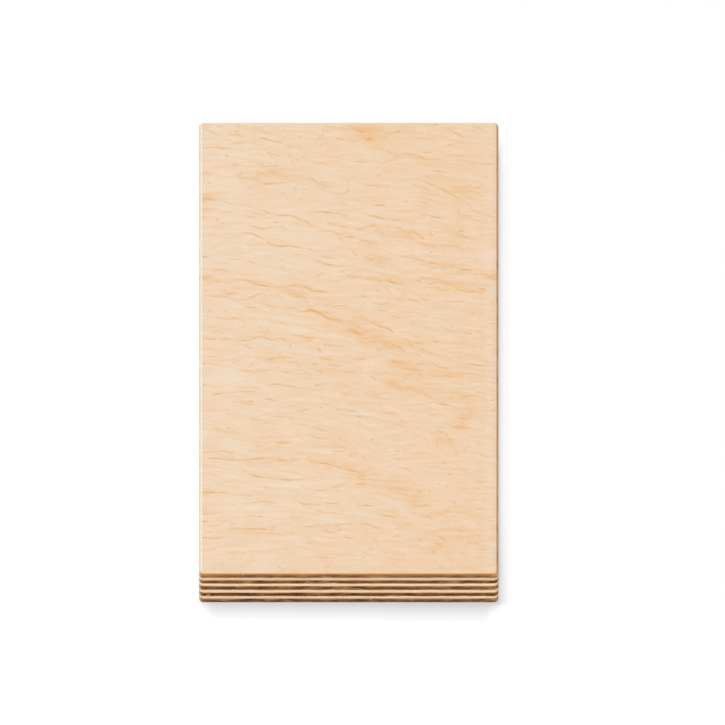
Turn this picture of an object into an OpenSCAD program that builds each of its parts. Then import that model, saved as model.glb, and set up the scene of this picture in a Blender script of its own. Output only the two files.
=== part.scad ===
// Plywood panel, lying flat with its face veneer up.
//
// The panel is laid up veneer by veneer. Each ply is a solid of its own, and it rests face to face on
// the ply below. The long plies follow the grain of the face, and the cross plies between them run
// square to it. All plies share one outline with rounded corners, and the outer edges of the face and
// back veneers are sanded round.
//
// Sizes are in millimetres. The origin is the middle of the underside, +X runs along the face grain,
// +Y runs along the length of the panel and +Z is up.

/* [Panel] */
// Width of the panel, along the grain of its face
panel_w = 80; // [30:1:600]
// Length of the panel
panel_l = 160; // [30:1:1200]
// Radius of the four upright corners
corner_r = 1.3; // [0.8:0.1:12]
// Radius sanded onto the outer edges of the face and back veneers
ease_r = 0.7; // [0.2:0.05:0.75]

/* [Plies] */
// Number of plies in the panel, always odd
ply_count = 9; // [3:2:21]
// Thickness of the face and back veneers
outer_t = 1.75; // [0.8:0.05:4]
// Thickness of the plies that run across the face grain
cross_t = 1.15; // [0.6:0.05:4]
// Thickness of the inner plies that follow the face grain
long_t = 1.3; // [0.6:0.05:4]

/* [Hidden] */
$fn = 64;

// Straight runs of the outline between its rounded corners
straight_w = panel_w - 2 * corner_r;
straight_l = panel_l - 2 * corner_r;

outer_colour = "#EFD2B2";
cross_colour = "#EBD3B6";
long_colour = "#80542F";

// Plies are counted upwards, from the back veneer to the face veneer.
back = 1;
face = ply_count;

function is_outer(ply) = ply == back || ply == face;
function is_cross(ply) = ply % 2 == 0;

function ply_thickness(ply) =
    is_outer(ply) ? outer_t :
    is_cross(ply) ? cross_t : long_t;

// Height of a ply's underside: the plies below it, stacked
function ply_height(ply) =
    ply == back ? 0 : ply_height(ply - 1) + ply_thickness(ply - 1);

function ply_name(ply) =
    ply == back ? "back_veneer" :
    ply == face ? "face_veneer" :
    str(is_cross(ply) ? "cross_ply_" : "long_ply_", ply);

// Section of an inner ply's edge, measured outwards from the centre of the corner radius
module square_section(thickness) {
    square([corner_r, thickness]);
}

// Section of an outer veneer's edge, with its upper corner rounded
module eased_section() {
    square([corner_r, outer_t - ease_r]);
    square([corner_r - ease_r, outer_t]);
    translate([corner_r - ease_r, outer_t - ease_r])
        intersection() {
            circle(ease_r);
            square(ease_r);
        }
}

// Takes an edge section round the outline: straight along each side and turned at each corner
module round_the_edge() {
    for (side = [0 : 3]) {
        run = side % 2 == 0 ? straight_l : straight_w;
        across = side % 2 == 0 ? straight_w : straight_l;
        rotate(90 * side)
            translate([across / 2, run / 2, 0]) {
                rotate([90, 0, 0])
                    linear_extrude(run) children();
                rotate_extrude(angle = 90) children();
            }
    }
}

// One sheet of veneer: its flat middle, with an edge section taken round it
module veneer(thickness) {
    linear_extrude(thickness) square([straight_w, straight_l], center = true);
    round_the_edge() children();
}

module outer_veneer() {
    color(outer_colour) veneer(outer_t) eased_section();
}

module face_veneer() {
    outer_veneer();
}

module back_veneer() {
    translate([0, 0, outer_t]) mirror([0, 0, 1]) outer_veneer();
}

module cross_ply() {
    color(cross_colour) veneer(cross_t) square_section(cross_t);
}

module long_ply() {
    color(long_colour) veneer(long_t) square_section(long_t);
}

// A ply at its place in the stack
module laid_ply(ply) {
    translate([0, 0, ply_height(ply)])
        if (ply == face) face_veneer();
        else if (ply == back) back_veneer();
        else if (is_cross(ply)) cross_ply();
        else long_ply();
}

for (ply = [back : face])
    laid_ply(ply);
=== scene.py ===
"""Looks of a small sheet of birch plywood: nine glued veneers, and the studio that they lie in.

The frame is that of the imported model, in metres: +X runs along the grain of the face, +Y along the length
of the sheet and +Z up through the plies. The figure of the face is drawn in millimetres from the middle of
the face, because its strokes are fractions of a millimetre wide.
"""

import logging
import math
from dataclasses import dataclass, field
from enum import Enum
from typing import Any

import bmesh
import bpy
import numpy as np
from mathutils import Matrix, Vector
from mathutils.geometry import delaunay_2d_cdt


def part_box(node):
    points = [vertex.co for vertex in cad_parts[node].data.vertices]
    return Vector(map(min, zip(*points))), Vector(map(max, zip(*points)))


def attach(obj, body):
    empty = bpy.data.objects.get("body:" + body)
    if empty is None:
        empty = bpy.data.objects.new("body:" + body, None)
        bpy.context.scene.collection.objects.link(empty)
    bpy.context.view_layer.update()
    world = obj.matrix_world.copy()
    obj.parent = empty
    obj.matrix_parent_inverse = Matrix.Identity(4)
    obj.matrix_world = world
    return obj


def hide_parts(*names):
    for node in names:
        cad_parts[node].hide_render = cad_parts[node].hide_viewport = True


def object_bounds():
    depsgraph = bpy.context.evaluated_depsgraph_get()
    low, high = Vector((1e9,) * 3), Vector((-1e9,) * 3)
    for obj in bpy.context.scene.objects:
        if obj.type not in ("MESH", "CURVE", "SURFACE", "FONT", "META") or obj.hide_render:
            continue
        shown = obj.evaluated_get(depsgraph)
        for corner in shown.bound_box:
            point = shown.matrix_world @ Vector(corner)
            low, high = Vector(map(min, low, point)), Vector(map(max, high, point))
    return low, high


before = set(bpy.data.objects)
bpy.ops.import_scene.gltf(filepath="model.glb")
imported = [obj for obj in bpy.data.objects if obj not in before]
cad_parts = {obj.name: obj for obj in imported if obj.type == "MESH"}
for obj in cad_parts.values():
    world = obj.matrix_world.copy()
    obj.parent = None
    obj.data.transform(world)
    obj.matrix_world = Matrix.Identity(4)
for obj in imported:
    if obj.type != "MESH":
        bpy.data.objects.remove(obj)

CAD_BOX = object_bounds()

LOG = logging.getLogger("plywood_sheet")
MM = 0.001

CORNER_RADIUS = 1.3 * MM
EASE_RADIUS = 0.7 * MM
GLUE_LINE_EASE = 0.02 * MM

# How far the underside, each glue line and the face lie above an even lay-up, from the bottom up
GLUE_LINE_LIFTS = tuple(lift * MM for lift in (0.0, 0.16, 0.07, 0.07, 0.18, 0.30, 0.28, 0.21, 0.17, 0.0))

# How much duller each ply is than the usual of its kind, from the bottom up
PLY_SHADES = (0.11, 0.0, 0.3, 0.05, 0.0, 0.0, 0.05, 0.6, 0.0)

# Edges that meet at more than this many degrees stay sharp, and points nearer than this gap are joined
SHARP_ANGLE = 35.0
MERGE_GAP = 0.001 * MM

# Steps round the ease at a glue line, and how far apart the seeds of the waves of two glue lines are
GLUE_LINE_STEPS = 2
GLUE_LINE_SEED_STEP = 5.0

LEVEL = (1.0, 1.0, 0.0)
DOWN = (0.0, 0.0, -1.0)

# Height and length of the slow and the quick sway of a drawn stroke, in millimetres
STROKE_SWAYS = ((0.10, 1.1), (0.06, 0.45))

# How a drawn stroke swells and fades, in shares of its length, its full width and its full strength, and
# the lengths of its beat in millimetres
TAPER = 0.18
LEAST_WIDTH = 0.45
END_STRENGTH = 0.25
TAIL_STRENGTH = 0.28
BEAT = 0.36
BEAT_LENGTHS = (0.9, 2.3)

# The pale line beside a strong stroke, in shares of the stroke's own half width and strength
PALE_GAP = 1.15
PALE_WIDTH = 0.8
PALE_STRENGTH = -0.45

# The slow swings of the grain where no lines are drawn: the slope, then lengths in millimetres
LONG_SWING = (0.05, 17.0)
SLANTED_SWING = (0.04, 11.0, 29.0)

# Middling and longest length and limits of the half width of the strewn flecks, in millimetres
FLECK_LENGTH = 2.0
LONGEST_FLECK = 11.0
FLECK_WIDTHS = (0.38, 0.62)

# Middling strength of a fleck, its limits, and what the strength of a pale one is multiplied by
FLECK_STRENGTH = 0.26
FLECK_STRENGTH_RANGE = (0.12, 0.5)
PALE_FLECK_STRENGTH = -0.8

# Spreads of the length and the strength on a log scale, of the slope about that of the grain, and of the
# bend as a share of the length
FLECK_LENGTH_SPREAD = 0.55
FLECK_STRENGTH_SPREAD = 0.4
FLECK_LEAN = 0.08
FLECK_BEND = 0.05

# Shares of the flecks that are pale, and that are strongest at their start
PALE_FLECKS = 0.16
EARLY_FLECKS = 0.45

Point = tuple[float, float]
Triple = tuple[float, float, float]
Stroke = tuple[Point, ...]
Colour = tuple[float, float, float, float]
Socket = bpy.types.NodeSocket


def tone(red: int, green: int, blue: int) -> Colour:
    """Gives the linear colour of a tone written in 0 to 255, as a paint chart does.

    Args:
        red, green, blue: The tone's display values.

    Returns:
        The linear colour, opaque.
    """
    linear = []
    for value in (red, green, blue):
        share = value / 255
        linear.append(share / 12.92 if share <= 0.04045 else ((share + 0.055) / 1.055) ** 2.4)
    return (linear[0], linear[1], linear[2], 1.0)


class PlyKind(Enum):
    """The kinds of veneer in the stack, each with the name of a material slot."""

    FACE = "outer_veneer"
    BACK = "outer_veneer_below"
    CROSS = "cross_ply"
    LONG = "long_ply"

    @property
    def slot(self) -> str:
        """Names the record's material slot."""
        return PlyKind.FACE.value if self is PlyKind.BACK else self.value

    @classmethod
    def of_node(cls, node: str) -> "PlyKind":
        """Reads the kind of veneer from its node's name."""
        starts = {"face": cls.FACE, "back": cls.BACK, "cross": cls.CROSS, "long": cls.LONG}
        return starts[node.split("_")[0]]


class Side(Enum):
    """The sides of the sheet, each with its axis and the way that it faces along it."""

    FRONT = (1, -1.0)
    RIGHT = (0, 1.0)
    BACK = (1, 1.0)
    LEFT = (0, -1.0)


@dataclass(frozen=True)
class EdgeWearAndLight:
    """How one eased edge of an outer veneer shows its brown, partly sanding wear and partly painted shade,
    with a painted highlight along its rim.

    Attributes:
        start: Where round the ease the brown begins to show, from 0 on the face to 1 on the edge.
        width: How far round it takes to show fully.
        most: How far it shows.
        rub: How strong the painted highlight along the rim of the face is.
        gild: How golden the wood turns before it browns.
    """

    start: float
    width: float
    most: float
    rub: float
    gild: float


# On the right the brown starts on the flat rim and is partly painted shade; on the left the brown is held
# back and the rim carries a painted highlight, fainter on the far edge.
EDGE_WEAR_AND_LIGHT = {
    Side.FRONT: EdgeWearAndLight(start=0.42, width=0.45, most=1.0, rub=0.0, gild=1.0),
    Side.RIGHT: EdgeWearAndLight(start=-0.10, width=0.5, most=0.8, rub=0.0, gild=0.2),
    Side.BACK: EdgeWearAndLight(start=0.55, width=0.5, most=1.0, rub=0.3, gild=0.5),
    Side.LEFT: EdgeWearAndLight(start=0.88, width=0.12, most=1.0, rub=1.0, gild=0.0),
}


class Bead(Enum):
    """Where along a grain line its colour is strongest."""

    MIDDLE = "middle"
    START = "start"
    END = "end"


class Bench:
    """Adds nodes to a tree and joins them, for geometry and for shaders alike."""

    def __init__(self, tree: bpy.types.NodeTree) -> None:
        """Takes up a node tree."""
        self.tree = tree

    def add(self, kind: str, inputs: dict[Any, Any] | None = None, **settings: Any) -> bpy.types.Node:
        """Adds one node.

        Args:
            kind: The node's type name.
            inputs: Sockets to link or values to set, by the input's name or place.
            **settings: Properties of the node itself.

        Returns:
            The new node.
        """
        node = self.tree.nodes.new(kind)
        for name, value in settings.items():
            setattr(node, name, value)
        for key, value in (inputs or {}).items():
            if isinstance(value, Socket):
                self.tree.links.new(value, node.inputs[key])
            else:
                node.inputs[key].default_value = value
        return node

    def math(self, operation: str, first: Any, second: Any = 0.0, clamped: bool = False) -> Socket:
        """Adds a Math node and gives its result, kept from 0 to 1 where it is clamped."""
        node = self.add("ShaderNodeMath", {0: first, 1: second}, operation=operation, use_clamp=clamped)
        return node.outputs[0]

    def plus(self, first: Any, second: Any, clamped: bool = False) -> Socket:
        """Adds two values."""
        return self.math("ADD", first, second, clamped)

    def less(self, first: Any, second: Any, clamped: bool = False) -> Socket:
        """Takes the second value from the first."""
        return self.math("SUBTRACT", first, second, clamped)

    def times(self, first: Any, second: Any, clamped: bool = False) -> Socket:
        """Multiplies two values."""
        return self.math("MULTIPLY", first, second, clamped)

    def most(self, first: Any, second: Any) -> Socket:
        """Gives the larger of two values."""
        return self.math("MAXIMUM", first, second)

    def swing(self, noise: Socket, reach: Any) -> Socket:
        """Turns a noise into one that swings to both sides of zero."""
        return self.times(self.less(noise, 0.5), reach)

    def split(self, vector: Any) -> list[Socket]:
        """Gives the three coordinates of a vector."""
        return list(self.add("ShaderNodeSeparateXYZ", {0: vector}).outputs)

    def joined(self, x: Any = 0.0, y: Any = 0.0, z: Any = 0.0) -> Socket:
        """Makes a vector of three coordinates."""
        return self.add("ShaderNodeCombineXYZ", {0: x, 1: y, 2: z}).outputs[0]

    def vector(self, operation: str, first: Any, second: Any = (0.0, 0.0, 0.0)) -> Socket:
        """Adds a Vector Math node and gives its vector."""
        node = self.add("ShaderNodeVectorMath", {0: first, 1: second}, operation=operation)
        return node.outputs[0]

    def scaled(self, vector: Any, factor: Any) -> Socket:
        """Multiplies a vector by one number."""
        node = self.add("ShaderNodeVectorMath", {0: vector, "Scale": factor}, operation="SCALE")
        return node.outputs[0]

    def remap(self, value: Any, start: Any, stop: Any, low: Any = 0.0, high: Any = 1.0) -> Socket:
        """Maps the range from start to stop onto low to high, eased at both ends and kept inside it."""
        inputs = {0: value, 1: start, 2: stop, 3: low, 4: high}
        return self.add("ShaderNodeMapRange", inputs, interpolation_type="SMOOTHSTEP").outputs[0]

    def noise(
        self, place: Socket, cells: Triple, seed: Any, detail: float = 2.0, roughness: float = 0.5
    ) -> Socket:
        """Adds a noise texture.

        Args:
            place: Where the noise is read.
            cells: Number of its cells for each unit of the place, along X, Y and Z.
            seed: The fourth coordinate, which sets one pattern apart from the next.
            detail: Number of finer layers.
            roughness: How strong the finer layers are.

        Returns:
            The socket of its value, about 0.5 on average.
        """
        spread = self.vector("MULTIPLY", place, cells)
        inputs = {"Vector": spread, "W": seed, "Scale": 1.0, "Detail": detail, "Roughness": roughness}
        return self.add("ShaderNodeTexNoise", inputs, noise_dimensions="4D").outputs[0]

    def blend(self, factor: Any, first: Any, second: Any) -> Socket:
        """Mixes two colours by the share of the second."""
        node = self.add("ShaderNodeMix", {0: factor, 6: first, 7: second}, data_type="RGBA")
        return node.outputs[2]

    def attribute(self, name: str) -> Socket:
        """Reads a number that the mesh carries, in a shader."""
        return self.add("ShaderNodeAttribute", attribute_name=name).outputs["Fac"]


@dataclass(frozen=True)
class Outline:
    """The plan that all plies share: a rectangle with rounded corners.

    Attributes:
        half_width: From the middle to the left or right edge.
        half_length: From the middle to the near or far edge.
        corner_radius: Radius of the upright corners.
        corner_steps: Number of straight steps round each of them.
    """

    half_width: float
    half_length: float
    corner_radius: float = CORNER_RADIUS
    corner_steps: int = 8

    @classmethod
    def of_frame(cls) -> "Outline":
        """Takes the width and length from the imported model's box."""
        low, high = CAD_BOX
        return cls((high[0] - low[0]) / 2, (high[1] - low[1]) / 2)

    def ring(self, inset: float, spacing: float) -> np.ndarray:
        """Walks once round the outline, anticlockwise seen from above.

        Args:
            inset: How far inside the outline the ring lies.
            spacing: Longest step along the straight sides.

        Returns:
            The ring's points, one row each.
        """
        radius = self.corner_radius - inset
        core = np.array([self.half_width, self.half_length]) - self.corner_radius
        corners = []
        for turn, signs in enumerate(((1, -1), (1, 1), (-1, 1), (-1, -1))):
            angles = np.radians(90 * (turn - 1) + np.linspace(0, 90, self.corner_steps + 1))
            corners.append(core * signs + radius * np.column_stack([np.cos(angles), np.sin(angles)]))
        runs = []
        for turn, arc in enumerate(corners):
            start, stop = arc[-1], corners[(turn + 1) % 4][0]
            count = math.ceil(np.linalg.norm(stop - start) / spacing)
            shares = np.linspace(0, 1, count + 1)[1:-1, None]
            runs += [arc, start + (stop - start) * shares]
        return np.vstack(runs)


@dataclass(frozen=True)
class GrainLine:
    """One stroke of the face's figure, in millimetres from the middle of the face.

    Attributes:
        strength: How far the stroke takes the wood to its dark tone, below zero for a pale stroke.
        points: The points that it passes through.
        bead: Where it is strongest.
        half_width: From its middle to where it has faded out.
    """

    strength: float
    points: Stroke
    bead: Bead = Bead.MIDDLE
    half_width: float = 0.46

    def trace(self, step: float, hand: np.random.Generator) -> "GrainTrace":
        """Draws the stroke as a slightly unsteady smooth curve.

        Args:
            step: Distance between the points of the curve.
            hand: Source of the unsteadiness.

        Returns:
            The stroke's middle line, with its width and strength along it.
        """
        knots = np.array(self.points, dtype=float)
        spans = np.linalg.norm(np.diff(knots, axis=0), axis=1)
        reach = np.concatenate([[0.0], np.cumsum(spans)])
        count = max(4, math.ceil(reach[-1] / step) + 1)
        along = np.linspace(0, reach[-1], count)
        slopes = np.gradient(knots, reach, axis=0)
        place = np.clip(np.searchsorted(reach, along, side="right") - 1, 0, len(spans) - 1)
        share = ((along - reach[place]) / spans[place])[:, None]
        span = spans[place][:, None]
        middle = (
            (1 + 2 * share) * (1 - share) ** 2 * knots[place]
            + share * (1 - share) ** 2 * span * slopes[place]
            + share**2 * (3 - 2 * share) * knots[place + 1]
            + share**2 * (share - 1) * span * slopes[place + 1]
        )
        phases = hand.uniform(0, 2 * math.pi, 4)
        sways = zip(STROKE_SWAYS, phases)
        middle[:, 1] += sum(height * np.sin(along / length + phase) for (height, length), phase in sways)
        part = along / reach[-1]
        rise = np.clip(part / TAPER, 0, 1)
        fall = np.clip((1 - part) / TAPER, 0, 1)
        shapes = {
            Bead.MIDDLE: np.minimum(rise, fall) * (1 - END_STRENGTH) + END_STRENGTH,
            Bead.START: 1 - (1 - TAIL_STRENGTH) * part,
            Bead.END: TAIL_STRENGTH + (1 - TAIL_STRENGTH) * part,
        }
        shape = shapes[self.bead]
        quick, slow = (np.sin(along / length + phase) for length, phase in zip(BEAT_LENGTHS, phases[2:]))
        pulse = 1 - BEAT + BEAT * quick * slow
        half_width = self.half_width * (LEAST_WIDTH + (1 - LEAST_WIDTH) * shape)
        return GrainTrace(middle, half_width, self.strength * shape * pulse)

    def companion(self) -> "GrainLine":
        """Gives the pale line that lies along the near side of a strong stroke."""
        points = tuple((x, y - PALE_GAP * self.half_width) for x, y in self.points)
        return GrainLine(PALE_STRENGTH * self.strength, points, self.bead, PALE_WIDTH * self.half_width)


@dataclass(frozen=True)
class GrainTrace:
    """A drawn stroke: the points of its middle line, and its half width and strength at each."""

    middle: np.ndarray
    half_width: np.ndarray
    strength: np.ndarray

    def kept_inside(self, reach_x: float, reach_y: float) -> "GrainTrace | None":
        """Cuts the stroke where it leaves the flat of the face.

        Args:
            reach_x, reach_y: How far from the middle the stroke may lie.

        Returns:
            The stroke inside those limits, or nothing where too little is left of it.
        """
        inside = np.all(np.abs(self.middle) < (reach_x, reach_y), axis=1)
        if inside.sum() < 2:
            return None
        return GrainTrace(self.middle[inside], self.half_width[inside], self.strength[inside])

    def strip(self) -> np.ndarray:
        """Gives the stroke's two sides and its middle line, as an array of side, point and coordinate.

        Returns:
            The array, with the middle line between the two sides.
        """
        along = np.gradient(self.middle, axis=0)
        across = np.column_stack([-along[:, 1], along[:, 0]])
        across *= (self.half_width / np.linalg.norm(across, axis=1))[:, None]
        return np.stack([self.middle - across, self.middle, self.middle + across])

    def stamp(self, places: np.ndarray, figure: np.ndarray) -> None:
        """Marks the stroke on the points near it, where it is stronger than what is there.

        Args:
            places: The points of the sheet.
            figure: The figure at each of them, which is changed in place.
        """
        margin = self.half_width.max()
        low, high = self.middle.min(axis=0) - margin, self.middle.max(axis=0) + margin
        near = np.flatnonzero(np.all((places > low) & (places < high), axis=1))
        if near.size == 0:
            return
        starts, steps = self.middle[:-1], np.diff(self.middle, axis=0)
        offsets = places[near][:, None, :] - starts
        shares = np.clip((offsets * steps).sum(axis=2) / (steps**2).sum(axis=1), 0, 1)
        gaps = np.linalg.norm(offsets - shares[:, :, None] * steps, axis=2)
        nearest = gaps.argmin(axis=1)
        rows = np.arange(near.size)
        share, gap = shares[rows, nearest], gaps[rows, nearest]
        half_width = (1 - share) * self.half_width[nearest] + share * self.half_width[nearest + 1]
        strength = (1 - share) * self.strength[nearest] + share * self.strength[nearest + 1]
        mark = strength * np.clip(1 - gap / half_width, 0, 1)
        stronger = np.abs(mark) > np.abs(figure[near])
        figure[near[stronger]] = mark[stronger]


@dataclass(frozen=True)
class WarmZone:
    """A soft patch of the face that is warmer than the rest, or paler where its strength is below zero.

    Attributes:
        middle: Its middle, in millimetres.
        reach: Its half length and half width, in millimetres.
        turn: How far it is turned, in degrees.
        strength: How much warmer it is.
    """

    middle: Point
    reach: Point
    turn: float
    strength: float

    def warmth(self, places: np.ndarray) -> np.ndarray:
        """Gives the patch's warmth at each of some points.

        Args:
            places: The points, in millimetres.

        Returns:
            The warmth at each.
        """
        turn = math.radians(self.turn)
        away = places - np.array(self.middle)
        along = (away[:, 0] * math.cos(turn) + away[:, 1] * math.sin(turn)) / self.reach[0]
        across = (away[:, 1] * math.cos(turn) - away[:, 0] * math.sin(turn)) / self.reach[1]
        return self.strength * np.exp(-(along**2) - across**2)


@dataclass(frozen=True)
class WarmBand:
    """A long soft band of the face that is warmer than the rest.

    Attributes:
        strength: How much warmer it is halfway along.
        reach: How far to each side it fades, in millimetres.
        points: The points that its middle passes through.
        ends: How far from nothing it starts and stops, as a share of its swell.
    """

    strength: float
    reach: float
    points: Stroke
    ends: float = 0.12

    def warmth(self, places: np.ndarray) -> np.ndarray:
        """Gives the band's warmth at each of some points.

        Args:
            places: The points, in millimetres.

        Returns:
            The warmth at each.
        """
        nearest = np.full(len(places), np.inf)
        along = np.zeros(len(places))
        for index, (start, stop) in enumerate(zip(self.points, self.points[1:])):
            run = np.subtract(stop, start)
            away = places - np.array(start)
            share = np.clip(away @ run / (run @ run), 0.0, 1.0)
            gap = np.linalg.norm(away - share[:, None] * run, axis=1)
            along = np.where(gap < nearest, (index + share) / (len(self.points) - 1), along)
            nearest = np.minimum(nearest, gap)
        swell = np.sin(math.pi * (self.ends + (1 - 2 * self.ends) * along))
        return self.strength * swell * np.exp(-((nearest / self.reach) ** 2))


# Strength and points of a grain line and, where they aren't the usual ones, its bead and half width
GrainRow = tuple[float, Stroke] | tuple[float, Stroke, Bead] | tuple[float, Stroke, Bead, float]

FAR_GRAIN: tuple[GrainRow, ...] = (
    (0.9, ((-38.9, 77.5), (-36.1, 75.9), (-32.8, 74.7)), Bead.START),
    (0.5, ((-34.7, 78.1), (-33.5, 77.8))),
    (0.8, ((-32.3, 77.3), (-31.0, 76.7), (-29.7, 76.5)), Bead.END),
    (0.9, ((-24.3, 74.3), (-22.0, 73.8), (-20.2, 73.1), (-16.9, 72.7))),
    (0.4, ((-26.6, 76.6), (-24.7, 77.3), (-21.0, 75.5), (-17.5, 74.5))),
    (0.5, ((-8.9, 74.1), (-4.6, 73.7))),
    (0.8, ((-4.6, 74.5), (-1.4, 73.6)), Bead.END),
    (0.5, ((-7.0, 79.0), (-4.2, 78.0), (-0.9, 77.1))),
    (0.5, ((-31.9, 72.1), (-26.2, 72.6), (-25.4, 72.2), (-21.5, 71.9))),
    (0.9, ((-41.0, 71.1), (-34.9, 70.7), (-32.2, 70.5)), Bead.END),
    (0.55, ((-16.7, 71.2), (-13.8, 70.7))),
    (0.85, ((-32.6, 68.0), (-31.9, 67.6), (-28.6, 67.3)), Bead.START),
    (0.9, ((-21.0, 68.7), (-18.3, 68.1), (-16.9, 68.0)), Bead.START),
    (0.6, ((-41.0, 65.9), (-35.3, 66.3), (-32.8, 66.5)), Bead.START),
    (0.75, ((-31.0, 65.2), (-28.5, 64.3))),
    (0.8, ((-27.6, 64.2), (-19.4, 64.2)), Bead.END),
    (0.4, ((-10.3, 64.6), (-7.6, 65.8), (-3.0, 65.6), (-0.9, 65.1))),
    (0.4, ((-41.0, 62.4), (-35.3, 61.2), (-33.5, 60.3))),
    (0.9, ((-37.8, 58.2), (-36.7, 58.1))),
    (0.4, ((-26.0, 59.6), (-22.0, 62.2), (-18.6, 61.7), (-15.0, 59.5))),
    (0.6, ((-24.1, 58.6), (-21.5, 58.0), (-18.8, 58.2), (-15.0, 58.9))),
    (0.5, ((-11.2, 61.4), (-8.0, 58.1), (-5.1, 56.7))),
    (0.45, ((-3.8, 61.7), (-0.1, 58.8), (-0.3, 55.5), (-4.1, 54.6), (-6.4, 55.4))),
    (0.9, ((-41.0, 53.5), (-34.4, 51.9), (-29.9, 50.5), (-24.3, 49.4)), Bead.START),
    (0.75, ((-24.3, 49.4), (-21.0, 47.4), (-15.9, 46.7), (-12.2, 45.1), (-9.5, 42.5))),
    (0.45, ((-41.0, 48.8), (-34.2, 49.3))),
    (0.75, ((-28.5, 46.8), (-25.0, 45.9))),
    (0.85, ((-10.7, 47.9), (-5.9, 47.9), (-1.4, 47.3))),
    (0.5, ((-5.9, 44.2), (0.2, 42.3))),
    (0.5, ((-41.0, 39.7), (-35.2, 39.7)), Bead.START),
    (
        0.9,
        (
            (-30.5, 39.5), (-26.9, 40.6), (-23.3, 38.8), (-20.5, 36.4),
            (-14.9, 35.8), (-10.7, 35.0), (-7.9, 33.3),
        ),
    ),
    (0.45, ((-30.0, 37.4), (-25.2, 36.5), (-22.0, 36.7))),
    (0.45, ((-3.3, 39.7), (-0.5, 36.5))),
    (0.8, ((-41.0, 32.3), (-37.4, 32.2))),
    (0.9, ((-34.4, 31.7), (-32.6, 31.3), (-29.7, 31.2)), Bead.END),
    (0.5, ((-27.4, 31.0), (-24.4, 29.6))),
    (0.85, ((-9.9, 31.3), (-4.6, 29.2), (0.2, 29.0))),
    (0.5, ((-5.5, 34.3), (-3.9, 34.4))),
    (0.8, ((-0.2, 79.0), (2.5, 76.9), (4.3, 75.9))),
    (0.95, ((4.4, 73.8), (6.4, 73.8))),
    (0.8, ((7.8, 76.7), (11.7, 75.9), (13.0, 76.4)), Bead.END),
    (0.4, ((13.8, 75.5), (18.0, 74.3), (22.0, 73.8), (23.5, 72.9))),
    (0.55, ((24.4, 79.0), (28.3, 76.2), (32.3, 73.8), (34.7, 73.7))),
    (0.45, ((32.6, 79.0), (37.3, 76.0))),
    (0.6, ((25.8, 70.9), (27.5, 71.9), (30.4, 72.2))),
    (0.75, ((24.9, 68.9), (31.0, 67.7)), Bead.END),
    (0.45, ((19.6, 69.0), (22.8, 69.4))),
    (0.5, ((7.5, 71.0), (11.2, 69.0), (17.5, 68.3), (20.7, 66.8), (25.4, 66.3))),
    (0.9, ((0.9, 66.0), (5.6, 65.6))),
    (0.85, ((33.1, 65.2), (41.0, 65.0))),
    (0.6, ((27.8, 64.7), (30.6, 64.1))),
    (0.6, ((-0.9, 60.0), (5.6, 57.5), (10.6, 56.9)), Bead.END),
    (0.65, ((15.9, 60.1), (17.3, 60.0), (22.0, 58.0), (25.7, 55.6), (31.5, 51.4))),
    (0.55, ((31.5, 51.4), (33.1, 48.7), (36.4, 47.0), (41.0, 45.8))),
    (0.6, ((36.5, 56.8), (38.6, 56.1))),
    (0.9, ((6.2, 50.5), (10.3, 50.4))),
    (0.8, ((4.0, 48.4), (4.8, 47.2), (7.0, 46.5), (12.2, 45.1), (15.7, 45.4))),
    (0.85, ((19.6, 47.7), (23.3, 46.1), (25.7, 46.0))),
    (0.5, ((29.4, 47.4), (33.1, 46.4))),
    (0.6, ((-1.0, 42.8), (2.7, 41.9), (7.2, 43.3), (8.3, 42.3))),
    (0.75, ((12.2, 42.7), (14.6, 41.8))),
    (0.85, ((-0.9, 39.3), (1.9, 39.3))),
    (0.8, ((3.3, 38.1), (7.2, 36.8)), Bead.START),
    (0.9, ((16.5, 42.1), (18.6, 39.7), (20.0, 38.6)), Bead.END),
    (0.6, ((21.2, 40.6), (22.8, 39.5))),
    (0.6, ((27.6, 42.0), (28.9, 40.4), (31.8, 39.0), (35.7, 38.6))),
    (0.5, ((25.3, 36.2), (25.4, 34.4))),
    (0.7, ((21.3, 33.8), (22.7, 33.9))),
    (0.85, ((9.6, 35.0), (12.0, 33.0), (16.2, 32.0), (20.4, 30.6)), Bead.END),
    (0.5, ((7.5, 32.4), (9.3, 30.0), (12.5, 29.3))),
    (0.5, ((29.1, 31.3), (28.1, 29.6), (27.7, 27.8))),
    (0.9, ((28.7, 28.3), (29.7, 27.8), (34.2, 27.4))),
    (0.8, ((21.7, 28.5), (24.1, 28.3))),
)

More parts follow.
